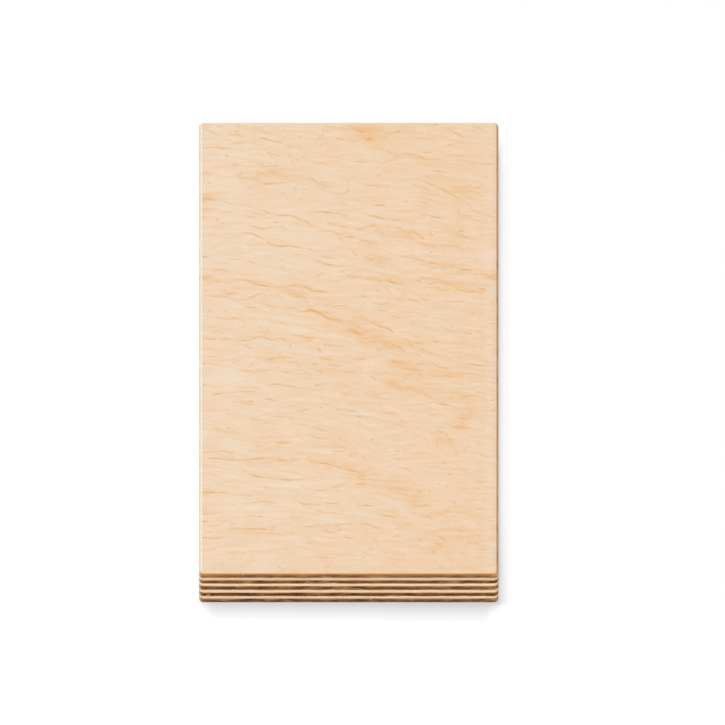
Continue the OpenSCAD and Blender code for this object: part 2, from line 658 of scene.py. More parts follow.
MIDDLE_GRAIN: tuple[GrainRow, ...] = (
    (0.85, ((-29.7, 24.0), (-27.3, 23.9), (-24.9, 22.5), (-21.2, 21.6), (-17.8, 21.2))),
    (0.85, ((-17.8, 21.2), (-15.7, 22.0), (-12.2, 21.8), (-9.6, 20.4), (-5.4, 19.4), (-2.9, 17.9))),
    (0.8, ((-41.0, 20.4), (-36.9, 20.2))),
    (0.6, ((-41.0, 19.2), (-33.9, 18.1), (-27.3, 17.1), (-25.2, 18.3), (-20.7, 20.5))),
    (0.5, ((-17.3, 20.9), (-14.6, 18.8), (-9.9, 17.0))),
    (0.85, ((-41.0, 11.4), (-36.8, 11.1), (-33.6, 10.2), (-30.5, 10.4), (-28.3, 9.4)), Bead.END),
    (0.55, ((-23.1, 15.5), (-17.3, 14.1), (-14.5, 14.1), (-13.0, 12.7))),
    (0.9, ((-13.0, 12.7), (-9.3, 13.1), (-5.9, 10.9), (-2.0, 9.2)), Bead.MIDDLE, 0.7),
    (0.45, ((-18.6, 10.0), (-17.8, 8.8), (-13.6, 7.9))),
    (0.85, ((-16.5, 5.1), (-13.8, 4.6), (-9.9, 3.3)), Bead.END),
    (0.8, ((-41.0, 3.4), (-34.9, 3.1), (-31.0, 3.2))),
    (0.8, ((-29.9, 2.7), (-27.0, 2.6), (-24.7, 3.6), (-19.1, 2.6))),
    (0.75, ((-18.3, 3.4), (-16.3, 2.4))),
    (0.5, ((-29.4, 1.8), (-25.3, -0.6))),
    (0.8, ((-9.9, 0.6), (-7.8, -0.5)), Bead.END),
    (0.8, ((-5.9, 1.1), (-3.5, 0.6), (-1.9, 0.7))),
    (-0.9, ((-29.4, -1.8), (-25.2, -1.7))),
    (-0.7, ((-28.3, -3.8), (-24.7, -3.8))),
    (0.85, ((-22.0, -4.2), (-18.8, -3.5), (-14.0, -3.5))),
    (1.0, ((-41.0, -5.4), (-34.9, -6.1), (-32.0, -6.7)), Bead.START, 0.6),
    (0.6, ((-30.6, -7.5), (-24.1, -8.5), (-19.1, -7.3))),
    (0.55, ((-14.1, -7.6), (-11.2, -7.7))),
    (0.8, ((-8.1, -8.0), (-6.7, -9.0))),
    (0.85, ((-1.9, -8.2), (0.2, -9.0))),
    (0.85, ((-41.0, -13.0), (-35.3, -13.7))),
    (0.5, ((-29.3, -14.4), (-26.5, -13.9), (-23.9, -14.4))),
    (0.8, ((-22.4, -13.2), (-19.1, -12.9), (-14.4, -14.0), (-10.4, -14.2))),
    (0.7, ((-9.3, -13.4), (-6.4, -12.9))),
    (0.8, ((-34.7, -16.0), (-29.1, -16.2)), Bead.START),
    (0.55, ((-29.4, -19.5), (-25.4, -20.2))),
    (0.6, ((-22.5, -17.9), (-19.0, -18.8))),
    (0.85, ((-41.0, -21.6), (-34.2, -21.9)), Bead.START),
    (0.8, ((-13.8, -22.0), (-10.7, -22.1))),
    (0.55, ((-3.5, -21.6), (0.2, -22.1))),
    (0.8, ((-22.8, -23.8), (-18.3, -24.4), (-12.2, -25.4)), Bead.START),
    (0.75, ((-24.9, -25.5), (-20.2, -26.2)), Bead.START),
    (0.5, ((-0.4, 25.8), (4.8, 24.6), (7.5, 24.2))),
    (0.9, ((9.3, 23.9), (11.7, 23.3), (14.6, 22.2)), Bead.MIDDLE, 0.7),
    (0.75, ((16.5, 23.5), (17.3, 24.0), (19.6, 22.8))),
    (0.8, ((20.4, 23.2), (21.5, 22.6), (24.1, 23.2))),
    (0.8, ((24.9, 27.0), (26.8, 26.3)), Bead.END),
    (0.5, ((34.2, 26.5), (41.0, 24.9))),
    (0.85, ((28.1, 19.7), (28.6, 20.5), (31.2, 19.8), (37.1, 20.4))),
    (0.85, ((3.1, 18.4), (5.9, 17.4))),
    (0.55, ((5.9, 16.2), (8.0, 15.6), (12.0, 15.8))),
    (0.5, ((12.8, 17.4), (15.1, 15.8))),
    (0.8, ((26.5, 16.2), (30.7, 16.2), (34.9, 15.3)), Bead.START),
    (0.5, ((32.8, 13.4), (33.4, 12.3), (36.3, 11.1))),
    (0.6, ((7.8, 13.4), (10.4, 13.0))),
    (0.8, ((10.7, 11.5), (13.3, 10.6), (16.2, 10.3))),
    (0.6, ((20.8, 12.4), (22.0, 12.4))),
    (0.6, ((36.7, 9.9), (41.0, 9.9))),
    (0.6, ((36.7, 8.6), (41.0, 8.4))),
    (0.8, ((4.1, 10.4), (8.3, 7.6), (11.2, 6.2), (12.5, 4.3)), Bead.MIDDLE, 0.6),
    (0.9, ((-1.0, 6.9), (1.7, 5.5), (4.3, 4.4)), Bead.MIDDLE, 0.7),
    (0.6, ((7.0, 3.4), (12.2, 0.9), (15.7, -1.5))),
    (0.5, ((8.8, 1.3), (14.4, 0.2))),
    (0.6, ((14.6, 3.2), (19.1, 1.5), (21.2, 1.5))),
    (0.8, ((21.7, 2.2), (24.4, 1.9))),
    (0.8, ((7.2, -0.6), (9.1, -0.9))),
    (0.6, ((18.3, -1.9), (19.2, -3.3))),
    (0.85, ((11.2, -4.8), (14.6, -5.4)), Bead.MIDDLE, 0.6),
    (0.6, ((-1.0, -2.7), (3.0, -4.1), (5.1, -3.8))),
    (0.6, ((21.7, -4.5), (23.3, -6.2), (27.0, -7.6))),
    (0.5, ((28.1, -3.3), (32.0, -4.3))),
    (0.85, ((31.0, -5.4), (33.6, -6.1), (41.0, -6.0))),
    (0.55, ((-1.0, -8.7), (2.7, -8.9))),
    (0.85, ((3.1, -8.7), (4.1, -9.2))),
    (0.55, ((14.6, -9.1), (18.0, -10.2), (21.7, -10.6))),
    (0.5, ((26.5, -9.2), (30.7, -11.3))),
    (0.85, ((15.9, -13.9), (18.6, -16.0)), Bead.END),
    (0.5, ((9.9, -11.7), (15.1, -14.6))),
    (0.8, ((20.7, -19.0), (24.4, -19.9), (28.1, -20.9))),
    (0.85, ((4.3, -17.0), (10.4, -18.0))),
    (0.8, ((-0.7, -22.2), (2.5, -22.7))),
    (0.85, ((2.5, -24.2), (5.6, -24.5), (10.1, -26.0)), Bead.START),
    (0.5, ((9.2, -22.5), (13.8, -24.1))),
    (0.5, ((36.5, -22.3), (41.0, -22.6))),
)

NEAR_GRAIN: tuple[GrainRow, ...] = (
    (0.75, ((-41.0, -28.2), (-37.9, -28.3))),
    (0.75, ((-36.1, -28.4), (-34.2, -28.5))),
    (0.85, ((-13.7, -27.1), (-10.7, -27.6))),
    (0.8, ((-9.6, -28.6), (-5.9, -29.2))),
    (0.85, ((-10.9, -31.1), (-8.8, -31.8), (-5.9, -32.3))),
    (0.85, ((-19.5, -33.8), (-15.5, -33.5))),
    (0.5, ((-41.0, -37.3), (-34.4, -36.7), (-29.9, -36.9))),
    (0.9, ((-41.0, -39.2), (-33.1, -39.4), (-30.5, -39.9), (-24.9, -39.4), (-20.4, -38.7))),
    (0.8, ((-19.9, -39.4), (-13.8, -39.7), (-12.0, -39.0))),
    (0.85, ((-12.0, -39.0), (-8.5, -40.8), (-5.9, -41.1), (0.2, -43.4), (4.3, -44.4))),
    (0.5, ((-4.5, -36.7), (-0.4, -36.7))),
    (0.9, ((-28.1, -44.4), (-23.6, -45.7), (-19.9, -46.4), (-13.6, -46.7), (-8.5, -47.0))),
    (0.5, ((-34.7, -47.4), (-31.0, -47.3))),
    (0.6, ((-23.3, -48.9), (-20.7, -49.6))),
    (1.0, ((-41.0, -51.3), (-32.0, -51.2)), Bead.MIDDLE, 0.6),
    (0.5, ((-31.5, -52.1), (-25.2, -52.3))),
    (0.65, ((-9.7, -50.5), (-7.2, -50.3), (-4.1, -49.5), (0.4, -47.4))),
    (0.6, ((-29.9, -54.4), (-27.8, -54.9), (-20.7, -54.6), (-18.3, -55.3))),
    (0.7, ((-13.8, -54.4), (-10.7, -55.6), (-7.0, -55.5))),
    (0.75, ((-6.4, -54.8), (-2.1, -55.4))),
    (0.55, ((-41.0, -58.6), (-36.5, -58.7), (-32.6, -58.1))),
    (0.6, ((-9.1, -57.4), (-4.3, -58.6), (-2.6, -58.8))),
    (0.85, ((-27.3, -59.5), (-23.3, -59.8)), Bead.END),
    (0.8, ((-41.0, -61.4), (-37.6, -61.4))),
    (0.8, ((-31.6, -64.2), (-25.2, -64.1), (-19.9, -64.5))),
    (0.45, ((-26.2, -65.1), (-17.0, -66.1))),
    (0.55, ((-13.0, -63.7), (-8.0, -62.9), (0.2, -62.3))),
    (0.8, ((-41.0, -67.0), (-32.6, -67.5))),
    (0.35, ((-13.0, -74.2), (-9.3, -73.8))),
    (0.8, ((12.2, -27.5), (15.9, -28.1), (18.3, -28.5)), Bead.START),
    (0.6, ((25.4, -26.6), (28.1, -27.8), (32.8, -28.2))),
    (0.75, ((1.9, -33.8), (3.4, -33.8))),
    (0.75, ((7.0, -35.3), (8.8, -35.9), (10.7, -35.3))),
    (0.55, ((14.4, -35.7), (15.7, -36.6))),
    (0.55, ((16.7, -37.4), (21.0, -37.1))),
    (0.55, ((11.4, -39.3), (14.9, -39.5))),
    (0.5, ((20.8, -42.2), (22.3, -42.0), (23.7, -42.5))),
    (0.5, ((27.3, -42.4), (31.1, -43.0))),
    (0.85, ((1.5, -48.5), (5.0, -47.8))),
    (0.5, ((20.6, -49.7), (23.1, -49.4))),
    (0.55, ((27.2, -54.4), (30.2, -55.5), (31.6, -55.3))),
    (0.8, ((2.7, -55.7), (7.0, -56.2))),
    (0.5, ((21.5, -57.2), (25.7, -59.1))),
    (0.85, ((7.0, -58.5), (10.1, -59.5), (13.3, -60.1))),
    (0.8, ((19.6, -59.3), (22.8, -60.8)), Bead.END),
    (0.6, ((14.5, -61.4), (17.5, -62.6))),
    (0.65, ((-1.0, -62.3), (1.7, -62.1), (4.8, -62.6), (8.5, -64.0))),
    (0.55, ((12.0, -64.0), (15.7, -64.1))),
    (0.75, ((23.6, -66.3), (26.2, -68.4))),
    (0.5, ((32.6, -66.1), (35.5, -66.4))),
    (0.7, ((22.0, -71.9), (23.2, -72.6))),
    (0.75, ((21.2, -74.5), (22.5, -75.6))),
    (0.7, ((4.7, -70.7), (7.0, -71.4))),
    (0.5, ((35.2, -37.4), (36.1, -38.4), (37.4, -38.9), (38.8, -39.2))),
    (0.45, ((33.5, -56.7), (36.5, -57.2), (41.0, -56.7))),
)

BOLD_STROKES: tuple[Stroke, ...] = (
    ((-19.1, 77.3), (-18.8, 77.1)), ((-29.4, 61.2), (-28.1, 61.6)), ((32.0, 70.6), (32.4, 70.5)),
    ((20.2, 60.7), (21.8, 60.5)), ((32.4, 57.8), (32.8, 57.6)), ((-35.4, 45.5), (-34.6, 45.2)),
    ((-33.8, 44.3), (-33.3, 44.0)), ((-21.0, 44.4), (-18.6, 44.4)), ((-29.3, 33.6), (-28.1, 33.8)),
    ((-18.0, 28.5), (-17.0, 28.2)), ((-36.5, 27.7), (-34.2, 27.6), (-32.3, 27.2)),
    ((4.8, 40.3), (5.2, 40.2)), ((13.5, 37.7), (13.9, 37.6)), ((37.0, 42.5), (37.5, 42.4)),
    ((29.0, 41.5), (31.1, 41.1)), ((31.6, 35.7), (31.9, 35.3)), ((27.1, 30.8), (27.5, 30.0)),
    ((21.2, 29.9), (22.9, 29.7), (24.3, 29.1)), ((33.5, 31.2), (34.1, 31.2)),
    ((-19.3, 19.2), (-18.5, 18.8)), ((-33.5, 13.2), (-32.3, 12.8)), ((-3.0, 14.9), (-1.7, 14.9)),
    ((7.5, 25.0), (8.1, 23.9), (8.7, 23.2)), ((-11.0, 3.4), (-10.0, 3.2)), ((-11.0, 2.6), (-9.9, 2.3)),
    ((33.5, 26.0), (34.1, 26.4)), ((34.2, 20.7), (35.1, 21.0), (36.1, 20.8), (37.0, 20.0)),
    ((32.3, 11.7), (33.4, 11.5)), ((-32.8, -23.2), (-31.6, -23.4)), ((-7.8, -21.1), (-6.8, -21.2)),
    ((8.4, -13.5), (8.8, -13.5)), ((26.5, -9.1), (27.5, -9.1)), ((36.7, -11.0), (37.1, -11.0)),
    ((37.5, -18.4), (41.0, -18.6)), ((-32.6, -28.4), (-31.5, -28.3)), ((-30.4, -27.7), (-30.0, -27.7)),
    ((-25.2, -39.3), (-24.3, -39.3)), ((-30.8, -46.6), (-30.1, -46.6)), ((-25.2, -50.5), (-24.7, -50.7)),
    ((1.7, -35.7), (2.6, -36.1)), ((11.7, -28.7), (12.5, -28.6)), ((11.5, -49.7), (11.9, -49.7)),
    ((26.2, -30.0), (26.2, -31.0), (26.5, -31.8)), ((30.1, -30.7), (31.4, -30.8)),
    ((26.5, -44.7), (27.7, -45.0)), ((38.4, -45.1), (39.0, -45.1)), ((24.0, -48.0), (24.5, -48.2)),
    ((21.1, -50.6), (22.0, -50.8)), ((28.8, -51.6), (29.6, -51.6)), ((32.0, -28.2), (32.7, -28.3)),
    ((-15.5, -58.9), (-14.8, -59.0)), ((-15.3, -60.0), (-14.3, -60.0)), ((-21.0, -64.4), (-20.1, -64.6)),
    ((-34.4, -76.5), (-33.6, -76.7)), ((-29.1, -77.4), (-28.4, -77.4)), ((13.1, -57.7), (13.5, -57.2)),
    ((-8.7, -62.8), (-8.0, -62.9)), ((-3.2, -64.8), (-1.5, -64.6)), ((-9.1, -69.5), (-8.7, -69.5)),
    ((-1.2, -66.8), (-0.3, -67.3), (2.0, -67.0)), ((11.6, -66.8), (12.6, -66.7), (14.2, -66.6)),
    ((3.4, -74.1), (4.7, -74.3)), ((17.5, -54.5), (18.0, -54.5)), ((26.2, -62.7), (27.1, -63.1)),
    ((29.6, -64.6), (30.3, -65.0)), ((31.0, -71.2), (31.9, -71.2)), ((30.3, -72.5), (30.8, -73.1)),
    ((19.6, -71.0), (20.2, -71.0)),
)

PLAIN_STROKES: tuple[Stroke, ...] = (
    ((-29.9, 78.2), (-28.7, 78.6)), ((-32.3, 75.3), (-30.0, 75.3), (-27.9, 74.6)),
    ((-17.6, 77.2), (-16.7, 76.7)), ((-14.0, 74.7), (-12.3, 74.7)), ((-21.2, 71.5), (-20.4, 70.9)),
    ((-16.7, 68.7), (-15.9, 68.1), (-15.1, 66.6), (-14.6, 64.7)), ((-24.7, 65.1), (-22.7, 64.9)),
    ((-14.6, 67.6), (-14.0, 66.8), (-13.6, 65.8)), ((-33.1, 60.5), (-31.0, 60.7), (-29.8, 61.0)),
    ((-30.2, 61.2), (-29.4, 60.5), (-27.2, 59.9), (-25.8, 59.8)), ((-21.6, 62.3), (-19.5, 62.4)),
    ((-19.9, 61.4), (-19.1, 60.8)), ((-17.9, 60.6), (-17.5, 60.5)), ((-14.4, 57.2), (-14.4, 55.7)),
    ((-17.7, 54.8), (-17.4, 54.4)), ((-6.8, 77.1), (-6.7, 75.7)), ((-7.8, 71.6), (-7.0, 71.8)),
    ((-13.3, 70.9), (-12.4, 70.6)), ((-12.6, 67.7), (-11.0, 67.3)), ((-10.6, 63.8), (-10.0, 63.4)),
    ((7.1, 60.4), (8.9, 61.3)), ((3.5, 74.8), (4.2, 74.3)), ((13.7, 57.8), (14.1, 57.7)),
    ((21.6, 79.0), (24.2, 78.9)), ((20.9, 76.8), (22.2, 75.8)), ((30.2, 74.4), (30.8, 74.2)),
    ((19.4, 61.9), (19.8, 61.8)), ((22.0, 62.4), (23.3, 62.6), (25.2, 62.3)), ((18.2, 57.0), (18.9, 56.7)),
    ((16.9, 55.0), (17.3, 54.9)), ((19.9, 56.5), (22.0, 55.6), (23.9, 55.1)), ((33.8, 56.8), (35.2, 57.0)),
    ((31.7, 56.1), (32.5, 56.0)), ((36.7, 55.3), (36.7, 54.7)), ((25.9, 53.4), (26.4, 53.1)),
    ((-41.0, 46.2), (-37.9, 46.4)), ((-27.3, 48.1), (-25.6, 47.9), (-23.7, 46.8), (-22.0, 46.2)),
    ((-27.3, 43.4), (-25.2, 42.9), (-23.3, 42.1), (-20.5, 42.7), (-18.0, 42.6), (-16.1, 42.0)),
    ((-32.3, 40.5), (-31.6, 40.3)), ((-20.5, 38.3), (-20.1, 38.1)), ((-36.9, 35.4), (-35.6, 35.7)),
    ((-14.9, 33.3), (-13.0, 32.9), (-12.2, 32.8)), ((-16.5, 53.0), (-16.1, 52.8)),
    ((-13.3, 53.0), (-12.0, 52.5)), ((1.0, 52.9), (3.1, 52.7)), ((-1.7, 47.0), (0.0, 46.7)),
    ((2.1, 46.5), (2.9, 45.7)), ((-9.0, 41.6), (-7.0, 41.2), (-4.0, 41.1), (-3.0, 40.5), (-0.5, 40.1)),
    ((6.5, 41.1), (8.1, 41.4)), ((8.3, 40.6), (9.0, 40.2), (10.5, 39.7)), ((10.0, 41.2), (10.7, 40.6)),
    ((11.9, 39.7), (12.6, 38.7)), ((-7.6, 32.5), (-5.9, 32.0), (-3.4, 31.5), (-1.7, 32.0)),
    ((0.6, 34.5), (1.8, 33.3), (2.7, 32.5)), ((3.5, 32.5), (4.8, 32.4), (5.6, 31.9)),
    ((5.0, 31.0), (5.8, 31.0), (6.7, 31.8), (7.5, 32.4)), ((7.7, 32.5), (9.4, 31.7), (11.9, 31.0)),
    ((4.0, 29.6), (4.6, 29.5)), ((6.9, 29.7), (9.2, 29.7)), ((-2.4, 27.1), (-1.3, 26.7)),
    ((1.6, 26.8), (2.5, 26.8)), ((14.7, 51.6), (15.9, 51.6)), ((19.1, 51.9), (20.4, 51.2), (22.2, 50.7)),
    ((19.3, 46.7), (21.0, 46.9)), ((29.4, 48.5), (29.4, 47.2)), ((29.8, 46.0), (30.3, 45.9)),
    ((34.6, 42.3), (35.9, 42.3)), ((23.3, 41.0), (23.9, 40.5)), ((15.9, 41.1), (16.6, 40.1)),
    ((14.1, 39.2), (15.9, 39.1), (17.2, 38.6), (18.7, 37.3), (20.4, 36.6), (22.2, 36.0), (24.3, 34.9)),
    ((16.2, 37.7), (16.8, 37.3)), ((26.2, 36.4), (26.5, 36.0)), ((16.4, 32.6), (18.0, 32.5)),
    ((18.7, 29.6), (20.4, 29.0)), ((33.8, 30.2), (34.8, 30.4)), ((-41.0, 24.5), (-38.3, 24.4)),
    ((-37.7, 25.1), (-36.5, 25.1)), ((-35.7, 23.2), (-34.2, 23.4)), ((-29.7, 24.5), (-29.0, 24.3)),
    ((-33.5, 20.6), (-32.5, 20.3)), ((-33.8, 19.7), (-32.5, 19.4), (-30.0, 19.4)),
    ((-22.6, 18.7), (-21.9, 18.8)), ((-16.1, 18.3), (-14.6, 18.0), (-13.0, 17.7)),
    ((-14.0, 16.9), (-11.6, 16.5), (-10.1, 15.9)), ((-32.5, 14.6), (-31.4, 13.8)),
    ((-28.9, 15.6), (-28.3, 14.9), (-27.2, 14.5), (-24.1, 14.3)), ((-41.0, 12.6), (-35.9, 12.9)),
    ((-37.1, 6.0), (-35.7, 5.7), (-32.9, 5.2)), ((-23.9, 7.8), (-22.8, 5.7), (-22.0, 4.5)),
    ((-22.2, 6.8), (-21.4, 5.7), (-20.3, 5.0)), ((-15.7, 1.4), (-15.5, 0.2)),
    ((-33.1, -0.3), (-31.9, 0.2)), ((-0.5, 25.5), (0.4, 25.2)), ((9.4, 21.7), (10.4, 20.4), (11.3, 19.3)),
    ((2.5, 19.5), (2.9, 19.3)), ((-9.1, 15.4), (-8.0, 15.2)), ((-3.2, 11.2), (-2.6, 10.9)),
    ((3.7, 11.3), (5.0, 11.7)), ((-9.5, 12.3), (-7.0, 11.2), (-5.3, 10.1), (-3.5, 9.6)),
    ((-3.0, 8.7), (-2.4, 8.7)), ((-1.9, 9.5), (-1.6, 8.3)), ((-6.4, 7.9), (-5.7, 7.9)),
    ((-0.1, 8.3), (2.1, 8.0), (3.5, 7.0)), ((1.8, 5.5), (2.1, 4.5)), ((-6.6, 1.0), (-5.9, 0.6)),
    ((2.5, 2.7), (4.6, 1.4)), ((4.0, 0.1), (6.7, 0.4)), ((6.5, 3.1), (6.9, 2.0), (7.5, 1.7)),
    ((8.6, 0.8), (10.2, 0.5)), ((32.5, 20.0), (34.2, 19.4), (36.2, 19.7)),
    ((36.5, 25.2), (38.3, 24.3), (41.0, 23.6)), ((23.7, 20.7), (25.6, 20.4), (26.7, 20.3)),
    ((14.5, 19.7), (15.5, 19.4)), ((20.4, 18.6), (21.8, 18.5)), ((18.7, 17.6), (20.4, 17.1), (22.0, 16.6)),
    ((14.1, 17.5), (15.9, 17.1), (18.1, 16.6), (18.9, 16.5)), ((16.0, 12.6), (16.9, 12.5)),
    ((19.6, 11.5), (21.0, 11.1)), ((37.4, 16.1), (41.0, 16.3)), ((16.6, 8.9), (18.0, 9.1)),
    ((17.3, 4.7), (18.3, 4.1), (19.5, 3.9)), ((27.1, 8.0), (28.1, 7.3)), ((33.6, 5.8), (36.1, 5.4)),
    ((23.7, 7.6), (24.8, 7.5), (26.0, 6.5), (27.1, 5.7), (28.6, 5.0)), ((30.7, 5.4), (33.0, 4.7)),
    ((35.9, 3.0), (36.7, 3.1)), ((15.7, 1.8), (16.6, 0.9), (17.6, 0.2)), ((-31.0, -5.3), (-30.2, -5.3)),
    ((-31.2, -4.2), (-30.2, -4.5), (-28.7, -4.6)), ((-28.3, -6.7), (-26.2, -6.5), (-25.4, -5.6)),
    ((-18.9, -1.9), (-17.6, -2.2)), ((-14.0, -6.6), (-12.4, -6.8)), ((-18.8, -7.0), (-18.3, -7.0)),
    ((-18.8, -8.0), (-17.6, -8.4), (-15.7, -9.0)), ((-20.1, -8.8), (-19.6, -8.9)),
    ((-29.6, -15.0), (-28.7, -15.2), (-27.2, -15.5), (-24.5, -15.4)), ((-23.9, -14.7), (-23.5, -14.8)),
    ((-31.0, -18.0), (-29.3, -18.5), (-27.2, -19.2), (-24.7, -19.1)), ((-32.9, -21.9), (-32.3, -22.0)),
    ((-19.3, -21.9), (-18.4, -22.2)), ((-15.9, -25.3), (-14.9, -25.4)), ((-9.9, -5.8), (-8.5, -5.7)),
    ((-8.3, -3.4), (-7.0, -3.7), (-5.3, -4.3), (-4.0, -4.3)), ((-6.0, -5.9), (-5.0, -6.0), (-2.0, -6.5)),
    ((-10.4, -9.6), (-10.0, -9.8)), ((9.5, -8.9), (10.2, -8.9)),
    ((5.4, -10.1), (6.5, -10.8), (7.5, -11.4)), ((5.2, -14.3), (6.7, -14.2), (7.9, -13.7)),
    ((3.9, -13.5), (4.0, -14.1)), ((5.2, -15.6), (7.1, -15.6)), ((9.5, -15.7), (10.9, -15.9)),
    ((-1.9, -16.1), (-0.5, -16.7), (0.8, -17.0)), ((0.2, -20.1), (1.4, -20.2)),
    ((-4.0, -18.9), (-3.4, -19.0), (-2.2, -19.4)), ((-7.6, -17.6), (-6.6, -17.9)),
    ((-6.7, -23.2), (-5.7, -23.2)), ((8.1, -20.2), (8.7, -20.4)), ((2.3, -26.2), (3.3, -26.2)),
    ((9.9, -12.8), (11.3, -13.5), (14.0, -14.4)), ((10.3, -11.5), (13.9, -13.0)),
    ((19.5, -0.5), (20.1, -0.6)), ((18.1, -1.4), (19.5, -1.5)), ((26.2, -1.2), (27.1, -1.6), (28.1, -1.4)),
    ((29.2, -1.8), (30.4, -1.8)), ((16.2, -4.7), (16.5, -5.2)), ((15.1, -7.5), (17.8, -7.6), (19.7, -7.9)),
    ((18.1, -9.8), (20.0, -9.6)), ((30.0, -12.9), (30.9, -13.0)),
    ((14.6, -11.4), (15.1, -11.0), (15.9, -10.6)), ((26.2, -9.6), (26.7, -10.3), (28.1, -10.5)),
    ((18.9, -15.2), (19.7, -15.7), (20.6, -17.0), (22.3, -17.7), (23.7, -18.7), (26.2, -19.0)),
    ((31.7, -14.5), (33.8, -14.4)), ((34.0, -16.2), (35.4, -15.9)), ((27.7, -16.0), (28.6, -16.1)),
    ((29.2, -16.7), (30.9, -17.0), (34.4, -17.1)), ((36.3, -17.5), (36.6, -18.5), (37.0, -19.6)),
    ((21.4, -23.0), (22.2, -23.5), (24.3, -23.4), (25.6, -24.0)), ((29.6, -23.3), (30.4, -23.2)),
    ((29.8, -24.8), (31.3, -25.6)), ((32.1, -21.9), (32.8, -21.8)), ((14.1, -25.9), (14.7, -26.2)),
    ((38.0, -0.6), (41.0, -0.7)), ((-25.1, -29.4), (-24.3, -29.6)), ((-21.4, -31.3), (-19.7, -31.6)),
    ((-24.9, -34.5), (-23.3, -34.9)), ((-19.6, -34.3), (-18.6, -35.0)), ((-32.7, -37.1), (-30.4, -37.3)),
    ((-28.5, -43.4), (-27.2, -43.3)), ((-27.5, -47.5), (-27.0, -47.5)), ((-14.6, -29.9), (-13.4, -30.0)),
    ((-13.8, -31.1), (-13.0, -31.3)), ((-15.9, -39.4), (-14.4, -39.1)), ((-17.6, -39.8), (-16.5, -39.8)),
    ((-8.0, -27.5), (-7.2, -27.6)), ((-4.4, -28.6), (-4.1, -28.9)), ((-3.4, -28.9), (-3.1, -29.3)),
    ((-9.3, -30.3), (-8.5, -30.5)), ((-12.5, -32.2), (-11.9, -32.3)), ((-6.9, -34.5), (-6.2, -34.9)),
    ((-2.8, -32.4), (-2.1, -32.3)), ((-4.7, -34.7), (-2.8, -34.9), (-1.7, -35.2), (-0.3, -35.5)),
    ((-4.6, -37.8), (-3.0, -37.9)), ((-0.1, -37.1), (1.4, -37.6), (2.7, -37.8)),
    ((-0.1, -38.4), (1.6, -38.4)), ((3.6, -38.3), (4.5, -39.1)), ((5.7, -32.4), (7.0, -32.6)),
    ((12.1, -36.4), (13.6, -36.6)), ((-11.6, -38.6), (-9.5, -38.8)),
    ((-8.2, -44.1), (-7.2, -44.8), (-5.9, -45.3)), ((-3.1, -46.1), (-2.8, -46.2)),
    ((-3.4, -50.1), (-2.1, -50.8)), ((-9.0, -51.5), (-8.6, -51.8)), ((5.4, -42.4), (6.2, -42.6)),
    ((2.1, -45.5), (5.0, -45.5)), ((2.1, -46.0), (4.4, -46.7)), ((6.0, -45.0), (7.1, -44.7), (8.0, -44.7)),
    ((10.4, -45.2), (11.1, -45.1)), ((12.8, -50.0), (14.9, -50.0)), ((22.2, -30.0), (23.3, -30.7)),
    ((16.8, -30.7), (18.0, -30.8), (19.1, -31.3)), ((23.1, -29.2), (24.3, -29.5), (25.6, -29.8)),
    ((29.6, -26.1), (30.4, -27.0), (31.3, -27.9)), ((28.5, -31.0), (29.2, -31.2)),
    ((23.3, -33.1), (23.9, -33.6)), ((23.1, -32.3), (24.1, -32.1), (24.8, -32.6)),
    ((26.7, -32.3), (27.7, -33.3)), ((20.2, -32.5), (20.8, -32.5)),
    ((20.6, -33.3), (21.4, -33.7), (21.8, -33.7)), ((24.8, -35.2), (25.2, -35.5)),
    ((30.7, -35.6), (31.3, -36.5)), ((31.7, -34.9), (32.1, -35.3)), ((34.4, -33.6), (35.2, -33.6)),
    ((24.7, -39.7), (25.7, -39.7)), ((24.6, -41.2), (25.4, -41.0), (26.9, -40.8)),
    ((14.1, -42.3), (15.3, -42.9), (16.8, -43.7), (17.6, -44.7)), ((29.2, -41.2), (29.6, -42.2)),
    ((35.6, -42.9), (36.1, -43.2)), ((33.8, -47.3), (34.6, -47.5), (36.3, -47.7)),
    ((35.9, -49.0), (36.7, -49.3), (41.0, -49.5)), ((32.8, -49.1), (34.0, -49.5), (35.3, -50.0)),
    ((25.7, -48.9), (26.5, -48.9)), ((14.7, -51.3), (15.3, -51.8), (15.9, -52.4)),
    ((18.0, -51.3), (19.9, -50.9)), ((36.3, -51.3), (37.0, -51.5), (36.7, -52.3)),
    ((-31.7, -55.7), (-30.2, -55.7)), ((-29.0, -57.2), (-28.4, -57.2)), ((-23.5, -59.9), (-23.2, -60.4)),
    ((-31.8, -62.5), (-30.5, -62.5)), ((-27.7, -62.4), (-27.0, -62.4)), ((-27.4, -65.1), (-27.0, -65.2)),
    ((-20.0, -65.8), (-19.5, -65.9)), ((-15.5, -65.7), (-14.0, -65.6)), ((-24.6, -69.2), (-24.3, -69.2)),
    ((-36.9, -71.2), (-36.1, -71.3), (-35.4, -71.6)), ((-34.4, -73.5), (-33.6, -73.4)),
    ((-18.8, -77.5), (-18.0, -77.8)), ((11.1, -57.4), (12.5, -57.4)), ((-3.8, -62.9), (-2.4, -62.8)),
    ((-7.2, -64.5), (-5.9, -64.8), (-4.0, -65.4), (-2.4, -65.1)),
    ((4.2, -66.0), (4.8, -66.8), (5.4, -66.9)), ((6.2, -67.7), (7.1, -68.1), (8.1, -68.6)),
    ((-11.4, -69.3), (-9.8, -69.3)), ((4.4, -72.7), (6.0, -73.2)), ((9.8, -72.7), (10.6, -72.8)),
    ((12.9, -75.5), (13.7, -75.6)), ((-6.1, -77.5), (-4.9, -77.3)), ((25.4, -58.1), (27.3, -58.2)),
    ((16.0, -55.4), (17.2, -55.8), (18.0, -56.0), (19.7, -55.7), (22.3, -56.3)),
    ((31.5, -54.5), (31.6, -55.2)), ((32.1, -54.4), (33.3, -54.3)),
    ((36.2, -59.5), (37.0, -59.7), (38.4, -59.9)), ((22.3, -65.1), (23.7, -65.1)),
